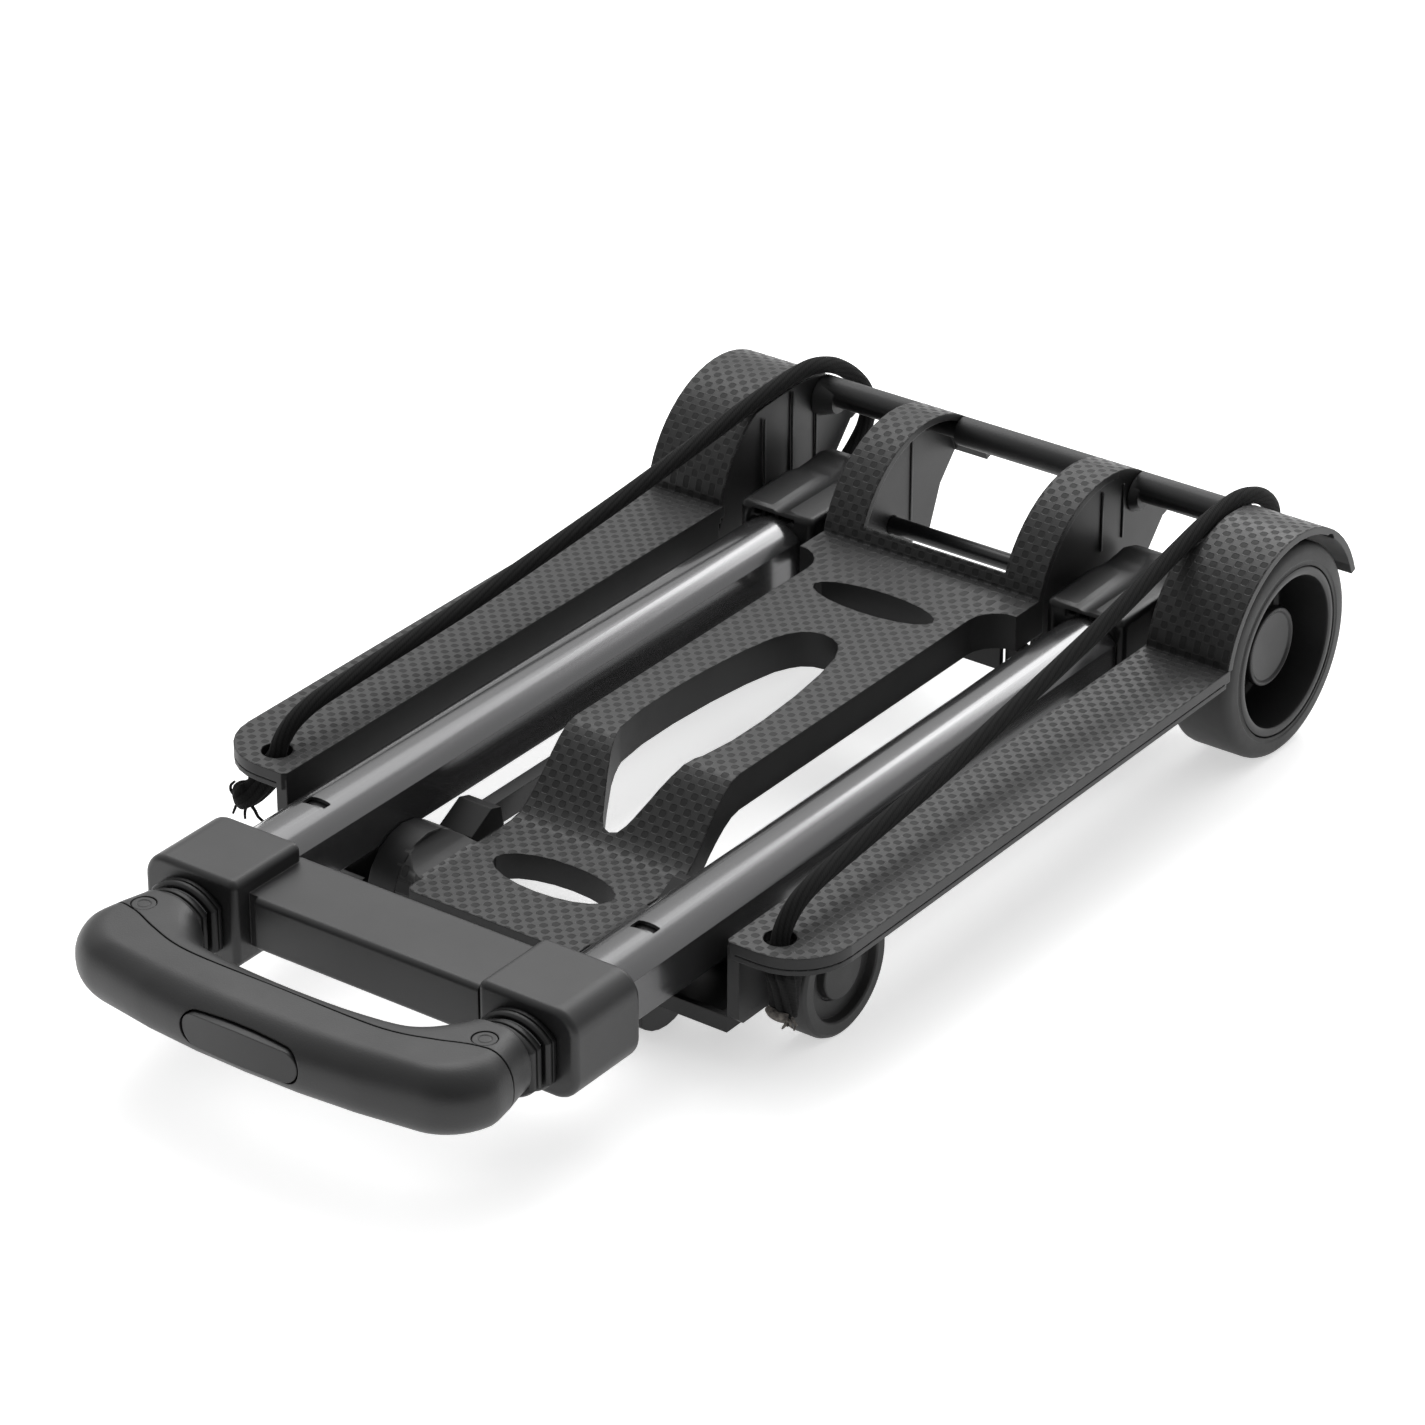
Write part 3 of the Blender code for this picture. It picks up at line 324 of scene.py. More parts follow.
def woven(name):
    """Carbon-cloth pattern: square cells with fine ridges between them, every other one sunk, with
    painted shade darkening the sunk cells.
    """
    skin = Skin(name, (0.02, 0.02, 0.02), 0.4, edge=1.0)
    coords = skin.node("ShaderNodeUVMap", uv_map="weave").outputs["UV"]
    split = skin.node("ShaderNodeSeparateXYZ")
    skin.join(coords, split.inputs[0])
    u, v = split.outputs["X"], split.outputs["Y"]
    whole = skin.math("ADD", skin.math("FLOOR", u), skin.math("FLOOR", v))
    sunk = skin.math("MODULO", skin.math("ABSOLUTE", whole), 2.0)
    reach = []
    for coordinate in (u, v):
        centred = skin.math("SUBTRACT", skin.math("FRACT", coordinate), 0.5)
        reach.append(skin.math("MULTIPLY", skin.math("ABSOLUTE", centred), 2.0))
    cubes = [skin.math("POWER", distance, 3.0) for distance in reach]
    pad = skin.node("ShaderNodeMapRange", interpolation_type="SMOOTHSTEP")
    pad.inputs["From Min"].default_value = 1.0
    pad.inputs["From Max"].default_value = 0.55
    skin.join(skin.math("ADD", *cubes), pad.inputs["Value"])
    ridge = skin.math("POWER", skin.math("MAXIMUM", *reach), 8.0)
    pit = skin.math("MULTIPLY", pad.outputs["Result"], sunk)
    height = skin.math("SUBTRACT", skin.math("MULTIPLY", ridge, 0.35), pit)
    skin.bump(height, 0.10, 0.9)
    skin.bump(skin.noise(2400.0, 2.0, 0.6), 0.010)
    cloudy = skin.math("MULTIPLY", skin.noise(26.0, 4.0, 0.6), 0.22)
    # Painted shade: the sunk cells are darker in the base colour, plus a random cloudy tone.
    shade = skin.math("ADD", skin.math("MULTIPLY", pit, 0.78), cloudy)
    skin.ramp(shade, [(0.0, 0.020), (0.5, 0.012), (1.0, 0.005)], "Base Color")
    skin.set("Specular IOR Level", 0.40)
    skin.ramp(shade, [(0.0, 0.36), (0.5, 0.46), (1.0, 0.66)], "Roughness")
    return skin


def braided(name):
    """Rubber cord in a tight sheath: strands that run along it with a slight twist, and fuzz."""
    skin = Skin(name, (0.006, 0.006, 0.0063), 0.85, edge=0.0)
    coords = skin.node("ShaderNodeUVMap", uv_map="braid").outputs["UV"]
    split = skin.node("ShaderNodeSeparateXYZ")
    skin.join(coords, split.inputs[0])
    twist = skin.math("MULTIPLY", split.outputs["Y"], 0.22)
    around = skin.math("ADD", skin.math("MULTIPLY", split.outputs["X"], 11.0), twist)
    wave = skin.math("SINE", skin.math("MULTIPLY", around, math.pi))
    strands = skin.math("ABSOLUTE", wave)
    slant = skin.math("ADD", skin.math("MULTIPLY", split.outputs["Y"], 2.0), around)
    wave = skin.math("SINE", skin.math("MULTIPLY", slant, math.pi))
    threads = skin.math("MULTIPLY", skin.math("ABSOLUTE", wave), 0.25)
    height = skin.math("ADD", skin.math("POWER", strands, 0.6), threads)
    skin.bump(height, 0.22, 0.9)
    skin.bump(skin.noise(5200.0, 2.0, 0.7), 0.05)
    # Painted shade: the base colour follows the strands' relief, darker in the grooves between
    # them.
    shade = skin.math("MULTIPLY", height, 0.8)
    skin.ramp(shade, [(0.0, 0.0015), (0.5, 0.0045), (1.0, 0.010)], "Base Color")
    skin.set("Specular IOR Level", 0.15)
    skin.set("Sheen Weight", 0.02)
    skin.set("Sheen Roughness", 0.5)
    return skin


CARBON = woven("carbon_pattern")
PLAIN = grained("smooth_rim_plastic", (0.008, 0.008, 0.0084), 0.5, 1800.0, 0.006)
# Web plastic: a real smoother, glossier finish, plus a base colour lighter than the rest of the
# moulding that is painted light, standing for the light the webs catch.
LIT_WEB = grained("web_plastic_painted_light", (0.012, 0.012, 0.0124), 0.42, 1200.0, 0.006)
GRAIN = grained("grip_grain_plastic", (0.011, 0.011, 0.0114), 0.44, 1700.0, 0.055)
HOUSE = grained("housing_plastic", (0.013, 0.013, 0.0135), 0.42, 2600.0, 0.02)
BUTTON = grained("button_face", (0.009, 0.009, 0.0094), 0.44, 2600.0, 0.02)
BLACK = grained("inner_black_plastic", (0.005, 0.005, 0.0053), 0.42, 1600.0, 0.01)
RIM = grained("rim_plastic", (0.007, 0.007, 0.0073), 0.42, 1600.0, 0.01)
PLAIN.set("Specular IOR Level", 0.34)
for dull in (LIT_WEB, BLACK, RIM):
    dull.set("Specular IOR Level", 0.36)

ANODISED = Skin("anodised_tube", (0.085, 0.085, 0.087), 0.2, 0.75, edge=0.3)
drawn = ANODISED.noise(900.0, 2.0, 0.5, stretch=(1.0, 0.02, 1.0))
ANODISED.ramp(drawn, [(0.25, 0.16), (0.8, 0.26)], "Roughness")
ANODISED.bump(drawn, 0.003, 0.6)
ANODISED.set("Coat Weight", 0.5)
ANODISED.set("Coat Roughness", 0.12)

AXLE = grained("blackened_axle", (0.007, 0.007, 0.0075), 0.3, 1500.0, 0.008, edge=0.3)

MATT_BAR = Skin("matt_bar", (0.008, 0.008, 0.0085), 0.5, 0.0, edge=0.3)
powder = MATT_BAR.noise(1500.0, 3.0, 0.6)
MATT_BAR.bump(powder, 0.02)
MATT_BAR.ramp(powder, [(0.3, 0.44), (0.8, 0.58)], "Roughness")

STEEL = Skin("bright_steel", (0.42, 0.42, 0.43), 0.3, 1.0, edge=0.2)
brushed = STEEL.noise(1400.0, 2.0, 0.6, stretch=(0.05, 1.0, 1.0))
STEEL.ramp(brushed, [(0.3, 0.22), (0.8, 0.42)], "Roughness")

RUBBER = Skin("tyre_rubber", (0.022, 0.022, 0.023), 0.6, 0.0, edge=0.8)
scuffed = RUBBER.noise(60.0, 6.0, 0.7)
RUBBER.ramp(scuffed, [(0.3, 0.009), (0.75, 0.015)], "Base Color")
RUBBER.ramp(scuffed, [(0.3, 0.52), (0.75, 0.68)], "Roughness")
RUBBER.bump(RUBBER.noise(1900.0, 3.0, 0.6), 0.02)

BRAID = braided("braided_sheath")
FRAY = Skin("frayed_fibre", (0.08, 0.072, 0.064), 0.85, 0.0, edge=0.0)
fibre_tones = [(0.3, (0.03, 0.027, 0.025)), (0.7, (0.16, 0.145, 0.13))]
FRAY.ramp(FRAY.noise(700.0, 2.0), fibre_tones, "Base Color")


# ---------------------------------------------------------------- CAD pieces with smooth normals
def body_of(node):
    for body, members in frame["record"]["behaviour"]["bodies"].items():
        if node in members:
            return body


def slot_of(node):
    for part in frame["record"]["subparts"]:
        if part["node"] == node:
            return part["material_slot"]


def refined(node, skin, angle=32.0):
    """A copy of the CAD piece with shared corners, smooth curved faces and a finished surface."""
    data = frame["nodes"][node].data.copy()
    build = bmesh.new()
    build.from_mesh(data)
    bmesh.ops.remove_doubles(build, verts=build.verts, dist=2e-6)
    bmesh.ops.dissolve_limit(
        build, angle_limit=math.radians(0.5), verts=build.verts, edges=build.edges
    )
    build.to_mesh(data)
    build.free()
    data.materials.clear()
    data.materials.append(skin.material)
    smooth(data, angle)
    piece = link(bpy.data.objects.new(node + "_finish", data))
    weighted(piece)
    return place(piece, body_of(node), slot_of(node), node)


def step_length():
    """Extra length that the slope of the centre plate adds, as (y, length) pairs."""
    steps = 40
    step = SLOPE_RUN / steps
    pairs = [(SLOPE_FRONT, 0.0)]
    for k in range(steps):
        t = (k + 0.5) / steps
        slope = (DECK_TOP - NOSE_TOP) * 6 * t * (1 - t) / SLOPE_RUN
        y, so_far = pairs[-1]
        pairs.append((y + step, so_far + (math.hypot(1.0, slope) - 1) * step))
    return pairs


SLOPE = step_length()


def weave_along(y, z):
    """Length along the top surface: over the plate's slope, then round the arch or fender."""
    if z > 51.0 and abs(math.hypot(y - GUARD_Y, z - GUARD_Z) - GUARD_R) < 0.7:
        turn = math.atan2(z - GUARD_Z, y - GUARD_Y)
        return -42.0 + GUARD_R * (math.radians(167.4) - turn)
    extra = 0.0
    for at_y, length in SLOPE:
        if y >= at_y:
            extra = length
    return y + extra


def rim_groove(sign):
    """A ring that cuts a fine line into the wing's rim, below its rounded top edge."""
    nose = arc(103.9, -269.5, 21.1, 270.0, 360.0, 24)
    kept = [(90.0, -290.6)] + nose + [(125.0, -38.0), (90.0, -38.0)]
    ring = box("ring", span(sign, 95.0, 130.0), (-300.0, -44.0), (46.0, 46.5), PLAIN.material)
    cut(ring, prism("kept", [(sign * a, b) for a, b in kept], "Z", 40, 50, PLAIN.material))
    return ring


def clothed(node, inner_limit, *cutters):
    """The CAD piece with the woven pattern on its top faces and smooth plastic elsewhere."""
    piece = refined(node, PLAIN)
    if cutters:
        piece.modifiers.clear()
        cut(piece, *cutters)
        weighted(piece)
    data = piece.data
    data.materials.append(CARBON.material)
    data.materials.append(LIT_WEB.material)
    layer = data.uv_layers.new(name="weave")
    corners = data.vertices
    for face in data.polygons:
        x, y, z = face.center.x / MM, face.center.y / MM - AXLE_Y, face.center.z / MM
        radial = Vector((0.0, y - GUARD_Y, z - GUARD_Z))
        faces_out = face.normal.dot(radial.normalized()) > 0.8
        on_guard = abs(radial.length - GUARD_R) < 0.7 and faces_out
        on_top = face.normal.z > 0.5 and abs(face.normal.x) < 0.3 and z > 27.0
        if (on_guard and z > 50.0) or (on_top and abs(x) < inner_limit):
            face.material_index = 1
        # Side faces of the webs take the web plastic with its painted light.
        elif abs(face.normal.x) > 0.9 and z > 44.0 and y > -40.0 and radial.length < 42.0:
            face.material_index = 2
        for corner in face.loop_indices:
            spot = corners[data.loops[corner].vertex_index].co
            along = weave_along(spot.y / MM - AXLE_Y, spot.z / MM)
            layer.data[corner].uv = (spot.x / MM / CELL + 200.0, along / CELL + 400.0)
    return piece


clothed("centre_plate", 46.0)
for side, sign in SIDES:
    clothed(side + "_wing", 200.0, rim_groove(sign))
    eye = [(5.3, 41.2), (6.9, 41.2), (7.6, 42.4), (8.0, 47.2), (5.3, 47.2)]
    eye = turned(side + "_cord_eye", eye, (sign * 104.4, -279.3), 40, PLAIN.material, "Z")
    place(eye, "deck", "carbon_pattern_plastic")
    for name in ("base_rail", "front_link", "middle_foot", "inner_foot"):
        refined(f"{side}_{name}", BLACK)
    for name in ("front_pin", "roller_pin", "middle_pin", "inner_pin", "release_rod"):
        refined(f"{side}_{name}", STEEL)
refined("rear_crossbar", MATT_BAR)
refined("rear_axle", AXLE)
refined("release_yoke", STEEL)
spring = refined("button_spring", STEEL)
low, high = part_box("button_spring")
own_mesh(spring)

for side, sign in SIDES:
    x = sign * MAST_X
    socket = refined(side + "_socket", BLACK)
    socket.modifiers.clear()
    core = [(0.05, -60.0), (7.5, -60.0), (7.5, 30.0), (0.05, 30.0)]
    groove = turned("groove", core, (x - sign * 2.0, 63.4), 48, BLACK.material, "Y")
    hollow = box("hollow", (x - 9.5, x + 9.5), (-47.0, -38.0), (52.2, 54.9), BLACK.material)
    teeth = [
        box("tooth", (x + k - 0.8, x + k + 0.8), (-42.6, -37.0), (51.5, 56.0), BLACK.material)
        for k in (-4.4, 1.4)
    ]
    cut(hollow, *teeth)
    cut(socket, groove, hollow)
    weighted(socket)

    ribs = (
        ("arch_inner", span(sign, 44.2, 44.9), 12.0, 37.0, 79.0),
        ("arch_outer", span(sign, 46.4, 47.1), -1.5, 57.0, 80.5),
        ("arch_outer_rear", span(sign, 46.4, 47.1), 12.5, 57.0, 78.5),
        ("fender_inner", span(sign, 90.8, 91.5), 1.7, 44.0, 80.5),
        ("fender_inner_front", span(sign, 90.8, 91.5), -16.0, 44.0, 76.0),
        ("fender_inner_rear", span(sign, 90.8, 91.5), 17.0, 44.0, 66.0),
    )
    for name, xs, y, low_z, high_z in ribs:
        rib = box(f"{side}_{name}_rib", xs, (y - 0.6, y + 0.6), (low_z, high_z), LIT_WEB.material)
        bake(bevel(rib, 0.25, 2))
        place(rib, "deck", "carbon_pattern_plastic")

# ---------------------------------------------------------------- tubes and collars
for side, sign in SIDES:
    x = sign * MAST_X
    stages = (
        ("outer_tube", OUTER, -362.0, -10.0, -302.5, "mast", 50, 56),
        ("middle_tube", MIDDLE, -371.0, -57.0, -322.75, "middle_stage", 48, 54),
        ("inner_tube", INNER, -388.0, -82.0, None, "upper_stage", 0, 0),
    )
    for name, size, low, high, slot_y, body, z0, z1 in stages:
        tube = pipe(f"{side}_{name}_drawn", size, TUBE_WALL, x, low, high, ANODISED.material)
        if slot_y is not None:
            ys = (slot_y - 2.5, slot_y + 2.5)
            window = box("window", (x - 4.5, x + 4.5), ys, (z0, z1), BLACK.material)
            bake(bevel(window, 0.6, 2))
            cut(tube, window)
        weighted(tube)
        place(tube, body, "black_anodised_tube", f"{side}_{name}")
    collars = (
        ("middle_collar", (13.4, 7.5, 13.6), MIDDLE, -370.6, -365.9, "middle_stage"),
        ("inner_collar", (12.2, 7.0, 12.4), INNER, -377.6, -371.5, "upper_stage"),
    )
    for name, size, bore, low, high, body in collars:
        loops = []
        depth = high - low
        profile = ((0.9, 0.0), (0.2, 0.12), (0.0, 0.2), (0.0, 0.42), (0.8, 0.46), (0.8, 0.54))
        profile += ((0.0, 0.58), (0.0, 0.84), (0.4, 0.94), (1.2, 1.0))
        for inset, share in profile:
            ring = section(size, inset, x)
            loops.append([(a, low + share * depth, b) for a, b in ring])
        for y in (high, low):
            loops.append([(a, y, b) for a, b in section(bore, -GAP, x)])
        collar = rings(f"{side}_{name}_ribbed", loops, BLACK.material)
        place(collar, body, "smooth_black_plastic", f"{side}_{name}")

# ---------------------------------------------------------------- housing
def block_outline(sign):
    """A block of the housing in (X, Z), with large corners on its outer side."""
    x0, x1, z0, z1 = 49.6, 88.4, 24.9, 57.4
    outline = arc(x1 - 9.0, z1 - 9.0, 9.0, 0.0, 90.0, 10)
    outline += arc(x0 + 3.0, z1 - 3.0, 3.0, 90.0, 180.0, 5)
    outline += arc(x0 + 3.0, z0 + 3.0, 3.0, 180.0, 270.0, 5)
    outline += arc(x1 - 9.0, z0 + 9.0, 9.0, 270.0, 360.0, 10)
    return [(sign * a, b) for a, b in outline]


housing = box("housing_shell", (-53.0, 53.0), (-360.3, -329.2), (31.5, 51.0), HOUSE.material)
bake(bevel(housing, 2.2, 5))
for side, sign in SIDES:
    block = prism("block", block_outline(sign), "Y", -365.5, -331.5, HOUSE.material)
    bake(bevel(block, 2.4, 5, 60.0))
    combined(housing, block, "UNION")
for side, sign in SIDES:
    x = sign * MAST_X
    groove = box("groove", span(sign, 45.8, 49.6), (-366.0, -358.4), (20, 60), HOUSE.material)
    cut(
        housing,
        prism("bore", section(OUTER, -GAP, x), "Y", -362.3, -320.0, BLACK.material),
        prism("mouth", section(MIDDLE, -0.5, x), "Y", -370.0, -361.0, BLACK.material),
        groove,
    )
weighted(housing)
place(housing, "mast", "fine_grain_plastic", "cross_housing")

# ---------------------------------------------------------------- grip
GRIP_HALF = 85.0
SEAM = [(0.0, -401.2), (30.0, -401.8), (45.0, -400.5), (58.0, -396.4)]
SEAM += [(68.0, -392.4), (78.0, -390.6), (92.0, -390.0)]


def grip_edges():
    """Outer and inner plan lines of the grip's right half, from the arm's end to the middle."""
    outer = [(GRIP_HALF - 4.8, -366.0), (GRIP_HALF - 4.2, -380.0), (GRIP_HALF - 1.8, -390.0)]
    outer += arc(GRIP_HALF - 22.0, -395.0, 22.0, 350.0, 285.0, 14)
    outer += [(44.0, -420.6), (22.0, -422.8), (0.0, -423.4)]
    inner = [(55.2, -366.0), (53.4, -376.0), (50.2, -381.2), (44.6, -387.0)]
    inner += [(37.4, -390.4), (22.0, -391.8), (0.0, -392.1)]
    inner = [(p.x, p.y) for p in curve_through(inner, 5)]
    return outer, inner


def along_line(line, share):
    """The point at a share of a line's length."""
    points = [Vector((a, b, 0.0)) for a, b in line]
    total = sum((q - p).length for p, q in zip(points, points[1:]))
    left = total * share
    for p, q in zip(points, points[1:]):
        step = (q - p).length
        if left <= step:
            return p.lerp(q, left / step if step else 0.0)
        left -= step
    return points[-1]


def curve_through(points, steps):
    """Points on a smooth curve through the given ones, (x, y) or (x, y, z)."""
    knots = [Vector(point).to_3d() for point in points]
    knots = [2 * knots[0] - knots[1]] + knots + [2 * knots[-1] - knots[-2]]
    out = []
    for a, b, c, d in zip(knots, knots[1:], knots[2:], knots[3:]):
        for k in range(steps):
            t = k / steps
            bent = (2 * a - 5 * b + 4 * c - d) * t * t + (3 * b - a - 3 * c + d) * t * t * t
            out.append(0.5 * (2 * b + (c - a) * t + bent))
    return out + [knots[-2]]


def seam_plan(shift, reach):
    """The half of the grip behind its seam, in plan, up to a reach in Y."""
    line = [(p.x, p.y + shift) for p in curve_through(SEAM, 6)]
    mirrored = [(-a, b) for a, b in reversed(line[1:])]
    return mirrored + line + [(92.0, reach), (-92.0, reach)]


def whole_grip(name):
    """A bar of rounded section that swells at the corners, lofted between the plan lines."""
    outer, inner = grip_edges()
    low_z, high_z, radius = 29.6, 54.0, 11.4
    mid_z, half_z = (low_z + high_z) / 2, (high_z - low_z) / 2
    sections = []
    for k in range(53):
        out_point, in_point = along_line(outer, k / 52), along_line(inner, k / 52)
        middle, reach = (out_point + in_point) / 2, (out_point - in_point) / 2
        half = reach.length
        rounding = min(radius, half - 1.0)
        corners = arc(half - rounding, half_z - rounding, rounding, 0.0, 90.0, 9)
        corners += [(-a, b) for a, b in reversed(corners)]
        corners += [(-a, -b) for a, b in corners]
        way = reach.normalized()
        across = [(middle + way * a, b) for a, b in corners]
        sections.append([(spot.x, spot.y, mid_z + b) for spot, b in across])
    mirrored = [[(-x, y, z) for x, y, z in ring] for ring in reversed(sections[:-1])]
    loops = sections + mirrored
    n = len(loops[0])
    points = [point for ring in loops for point in ring]
    faces = [tuple(range(n)), tuple(range(len(points) - n, len(points)))]
    for k in range(len(loops) - 1):
        for i in range(n):
            j = (i + 1) % n
            faces.append((k * n + i, k * n + j, (k + 1) * n + j, (k + 1) * n + i))
    grip = mesh_object(name, points, faces, GRAIN.material)
    ends = box("ends", (-95, 95), (-430, -378.0), (20, 60), GRAIN.material)
    return combined(grip, ends, "INTERSECT")


def button_outline(grow):
    """The long oval of the button in (X, Z), slightly arched at the top, grown on all sides."""
    z0, z1 = 37.0, 48.6
    radius = (z1 - z0) / 2 + grow
    mid = (z0 + z1) / 2
    reach = 23.4 + grow - radius
    ends = arc(reach, mid, radius, -90.0, 90.0, 16)
    top = [(reach * (1 - k / 8), z1 + grow + 0.8 * math.sin(math.pi * k / 16)) for k in range(1, 9)]
    return ends + top + [(-a, b) for a, b in reversed(ends + top[:-1])]


shell = whole_grip("grip_front_shell")
pocket = prism("pocket", button_outline(0.75), "Y", -430.0, -408.0, GRAIN.material)
cut(
    shell,
    prism("back_half", seam_plan(0.0, -370.0), "Z", 20, 60, GRAIN.material),
    pocket,
    box("channel", (-71.0, 71.0), (-412.8, -403.6), (36.4, 43.6), BLACK.material),
)
weighted(shell)
place(shell, "upper_stage", "fine_grain_plastic", "grip_shell")

insert = whole_grip("grip_rear_shell")
combined(insert, prism("half", seam_plan(0.7, -377.0), "Z", 20, 60, GRAIN.material), "INTERSECT")
for side, sign in SIDES:
    x = sign * MAST_X
    cut(
        insert,
        prism("bore", section(INNER, -GAP, x), "Y", -388.4, -370.0, BLACK.material),
        prism("seat", arc(sign * 69.5, -386.8, 4.4, 0, 348, 29), "Z", 52.6, 58.0, GRAIN.material),
    )
weighted(insert)
place(insert, "upper_stage", "fine_grain_plastic", "grip_insert")

button = prism("button_cap", button_outline(0.0), "Y", -424.6, -413.2, BUTTON.material)
face = arc(0.0, -224.0, 199.7, 262.0, 278.0, 40)
front = prism("front", face + [(30.0, -405.0), (-30.0, -405.0)], "Z", 30, 60, BUTTON.material)
combined(button, front, "INTERSECT")
bake(bevel(button, 1.2, 4, 50.0))
weighted(button)
place(button, "release", "button_plastic", "grip_button")

for side, sign in SIDES:
    spot = (sign * 69.5, -386.8)
    disc = [(0.05, 52.9), (4.1, 52.9), (4.1, 53.6), (3.9, 53.8), (2.5, 53.8), (2.3, 53.6)]
    disc += [(2.1, 53.6), (1.9, 53.75), (0.05, 53.8)]
    plug = turned(side + "_plug_cap", disc, spot, 40, GRAIN.material, "Z")
    place(plug, "upper_stage", "fine_grain_plastic", side + "_grip_plug")

# ---------------------------------------------------------------- wheels
def outward(profile, sign):
    """A (radius, along) profile for the wheel on this side of the trolley."""
    return [(r, sign * x) for r, x in profile]


for side, sign in SIDES:
    hub = (0.0, AXLE_Z)
    body = side + "_rear_wheel"
    tread = [(31.8, 99.0), (37.2, 99.0), (38.8, 99.6), (39.7, 100.8), (40.0, 102.4)]
    tread += [(40.0, 120.6), (39.8, 122.0), (39.2, 123.2), (38.2, 124.1), (36.8, 124.6)]
    tread += [(33.6, 124.6), (33.2, 124.3), (32.2, 124.3), (31.8, 124.6)]
    tyre = turned(side + "_tyre_moulded", outward(tread, sign), hub, 120, RUBBER.material)
    place(tyre, body, "tyre_rubber", side + "_rear_tyre")

    dish = [(31.5, 99.5), (31.5, 123.8), (31.2, 124.3), (30.6, 124.5), (29.2, 124.5)]
    dish += [(28.3, 124.2), (28.0, 123.2), (28.0, 106.0), (27.4, 104.2), (25.8, 103.2)]
    dish += [(16.2, 103.2), (14.6, 104.0), (13.8, 105.6), (13.8, 113.6), (13.2, 114.6)]
    dish += [(3.4, 114.6), (3.4, 99.5)]
    rim = turned(side + "_rim_moulded", outward(dish, sign), hub, 120, RIM.material)
    place(rim, body, "rim_plastic", side + "_rear_rim")
    for k in range(6):
        turn = math.radians(60 * k)
        xs = span(sign, 103.0, 105.4)
        rib = box(f"{side}_rim_rib_{k}", xs, (13.6, 28.1), (-0.7, 0.7), RIM.material)
        for corner in rib.data.vertices:
            y, z = corner.co.y / MM - AXLE_Y, corner.co.z / MM
            turned_y = y * math.cos(turn) - z * math.sin(turn)
            turned_z = y * math.sin(turn) + z * math.cos(turn) + AXLE_Z
            corner.co = at(corner.co.x / MM, turned_y, turned_z)
        bake(bevel(rib, 0.35, 2))
        place(rib, body, "rim_plastic")

    cap = [(0.05, 115.1), (14.0, 115.1), (14.6, 115.7), (14.6, 117.4), (14.3, 118.0)]
    cap += [(13.6, 118.2), (12.9, 117.9), (12.5, 117.4), (0.05, 116.9)]
    hub_cap = turned(side + "_cap_moulded", outward(cap, sign), hub, 96, RIM.material)
    place(hub_cap, body, "rim_plastic", side + "_hub_cap")

    inner_x, outer_x = 95.3, 108.0
    small = [(3.07, inner_x + 0.8), (21.0, inner_x), (22.8, inner_x + 0.6), (23.8, inner_x + 2.2)]
    small += [(23.8, outer_x - 2.2), (23.2, outer_x - 0.8), (22.0, outer_x), (18.4, outer_x)]
    small += [(17.9, outer_x - 0.5), (17.5, outer_x - 3.5), (11.5, outer_x - 3.7)]
    small += [(11.3, outer_x - 4.4), (10.7, outer_x - 4.4), (10.5, outer_x - 3.6)]
    small += [(10.4, outer_x - 1.4), (10.0, outer_x - 1.05), (0.05, outer_x - 0.9)]
    small += [(0.05, outer_x - 1.45), (3.07, outer_x - 1.45)]
    spot = (-247.3, 23.8)
    wheel = turned(side + "_front_wheel_moulded", outward(small, sign), spot, 96, RUBBER.material)
    place(wheel, side + "_front_wheel", "tyre_rubber", side + "_front_wheel")

    small = [(2.62, 46.8), (15.0, 46.8), (16.1, 47.5), (16.4, 48.5), (16.4, 53.1)]
    small += [(16.1, 54.1), (15.0, 54.8), (2.62, 54.8)]
    spot = (-273.7, 16.4)
    wheel = turned(side + "_roller_moulded", outward(small, sign), spot, 72, RUBBER.material)
    place(wheel, side + "_roller", "tyre_rubber", side + "_roller")

# ---------------------------------------------------------------- cord
KNOT_X = {"left": -111.5, "right": 108.0}


def cord_route(side, sign):
    """Centreline of the cord, from the knot under the wing to the knot behind the wheel."""
    knot_x = sign * KNOT_X[side]
    hole_x = 104.4
    route = [
        (knot_x, -282.0, 37.8),
        (knot_x - 0.1 * (knot_x - hole_x), -281.9, 41.0),
        (knot_x - 0.55 * (knot_x - hole_x), -281.0, 44.4),
        (knot_x - 0.98 * (knot_x - hole_x), -279.5, 48.6),
        (104.2, -276.8, 53.6),
        (103.9, -270.5, 58.2),
        (103.5, -260.0, 61.0),
        (102.8, -242.0, 62.3),
        (100.9, -190.0, 64.8),
        (99.8, -163.0, 66.8),
        (97.6, -107.0, 72.2),
        (96.0, -65.0, 77.2),
        (94.2, -28.0, 82.4),
        (93.2, -8.0, 84.6),
        (92.8, 8.0, 85.3),
        (92.6, 18.0, 84.4),
        (92.3, 29.0, 80.6),
        (91.2, 38.0, 74.6),
        (89.6, 44.4, 67.4),
        (88.0, 46.4, 59.8),
        (87.2, 43.6, 52.6),
        (87.2, 37.6, 46.6),
        (87.4, 30.4, 41.2),
        (87.5, 24.4, 35.2),
        (87.5, 22.0, 27.6),
    ]
    return [(sign * x, y, z) for x, y, z in route]


def even(points, spacing):
    """Points at an even spacing along a line."""
    total = sum((q - p).length for p, q in zip(points, points[1:]))
    count = round(total / spacing)
    out = [points[0]]
    walked = 0.0
    for p, q in zip(points, points[1:]):
        step = (q - p).length
        while len(out) < count and walked + step >= total * len(out) / count:
            out.append(p.lerp(q, (total * len(out) / count - walked) / step))
        walked += step
    return out + [points[-1]]


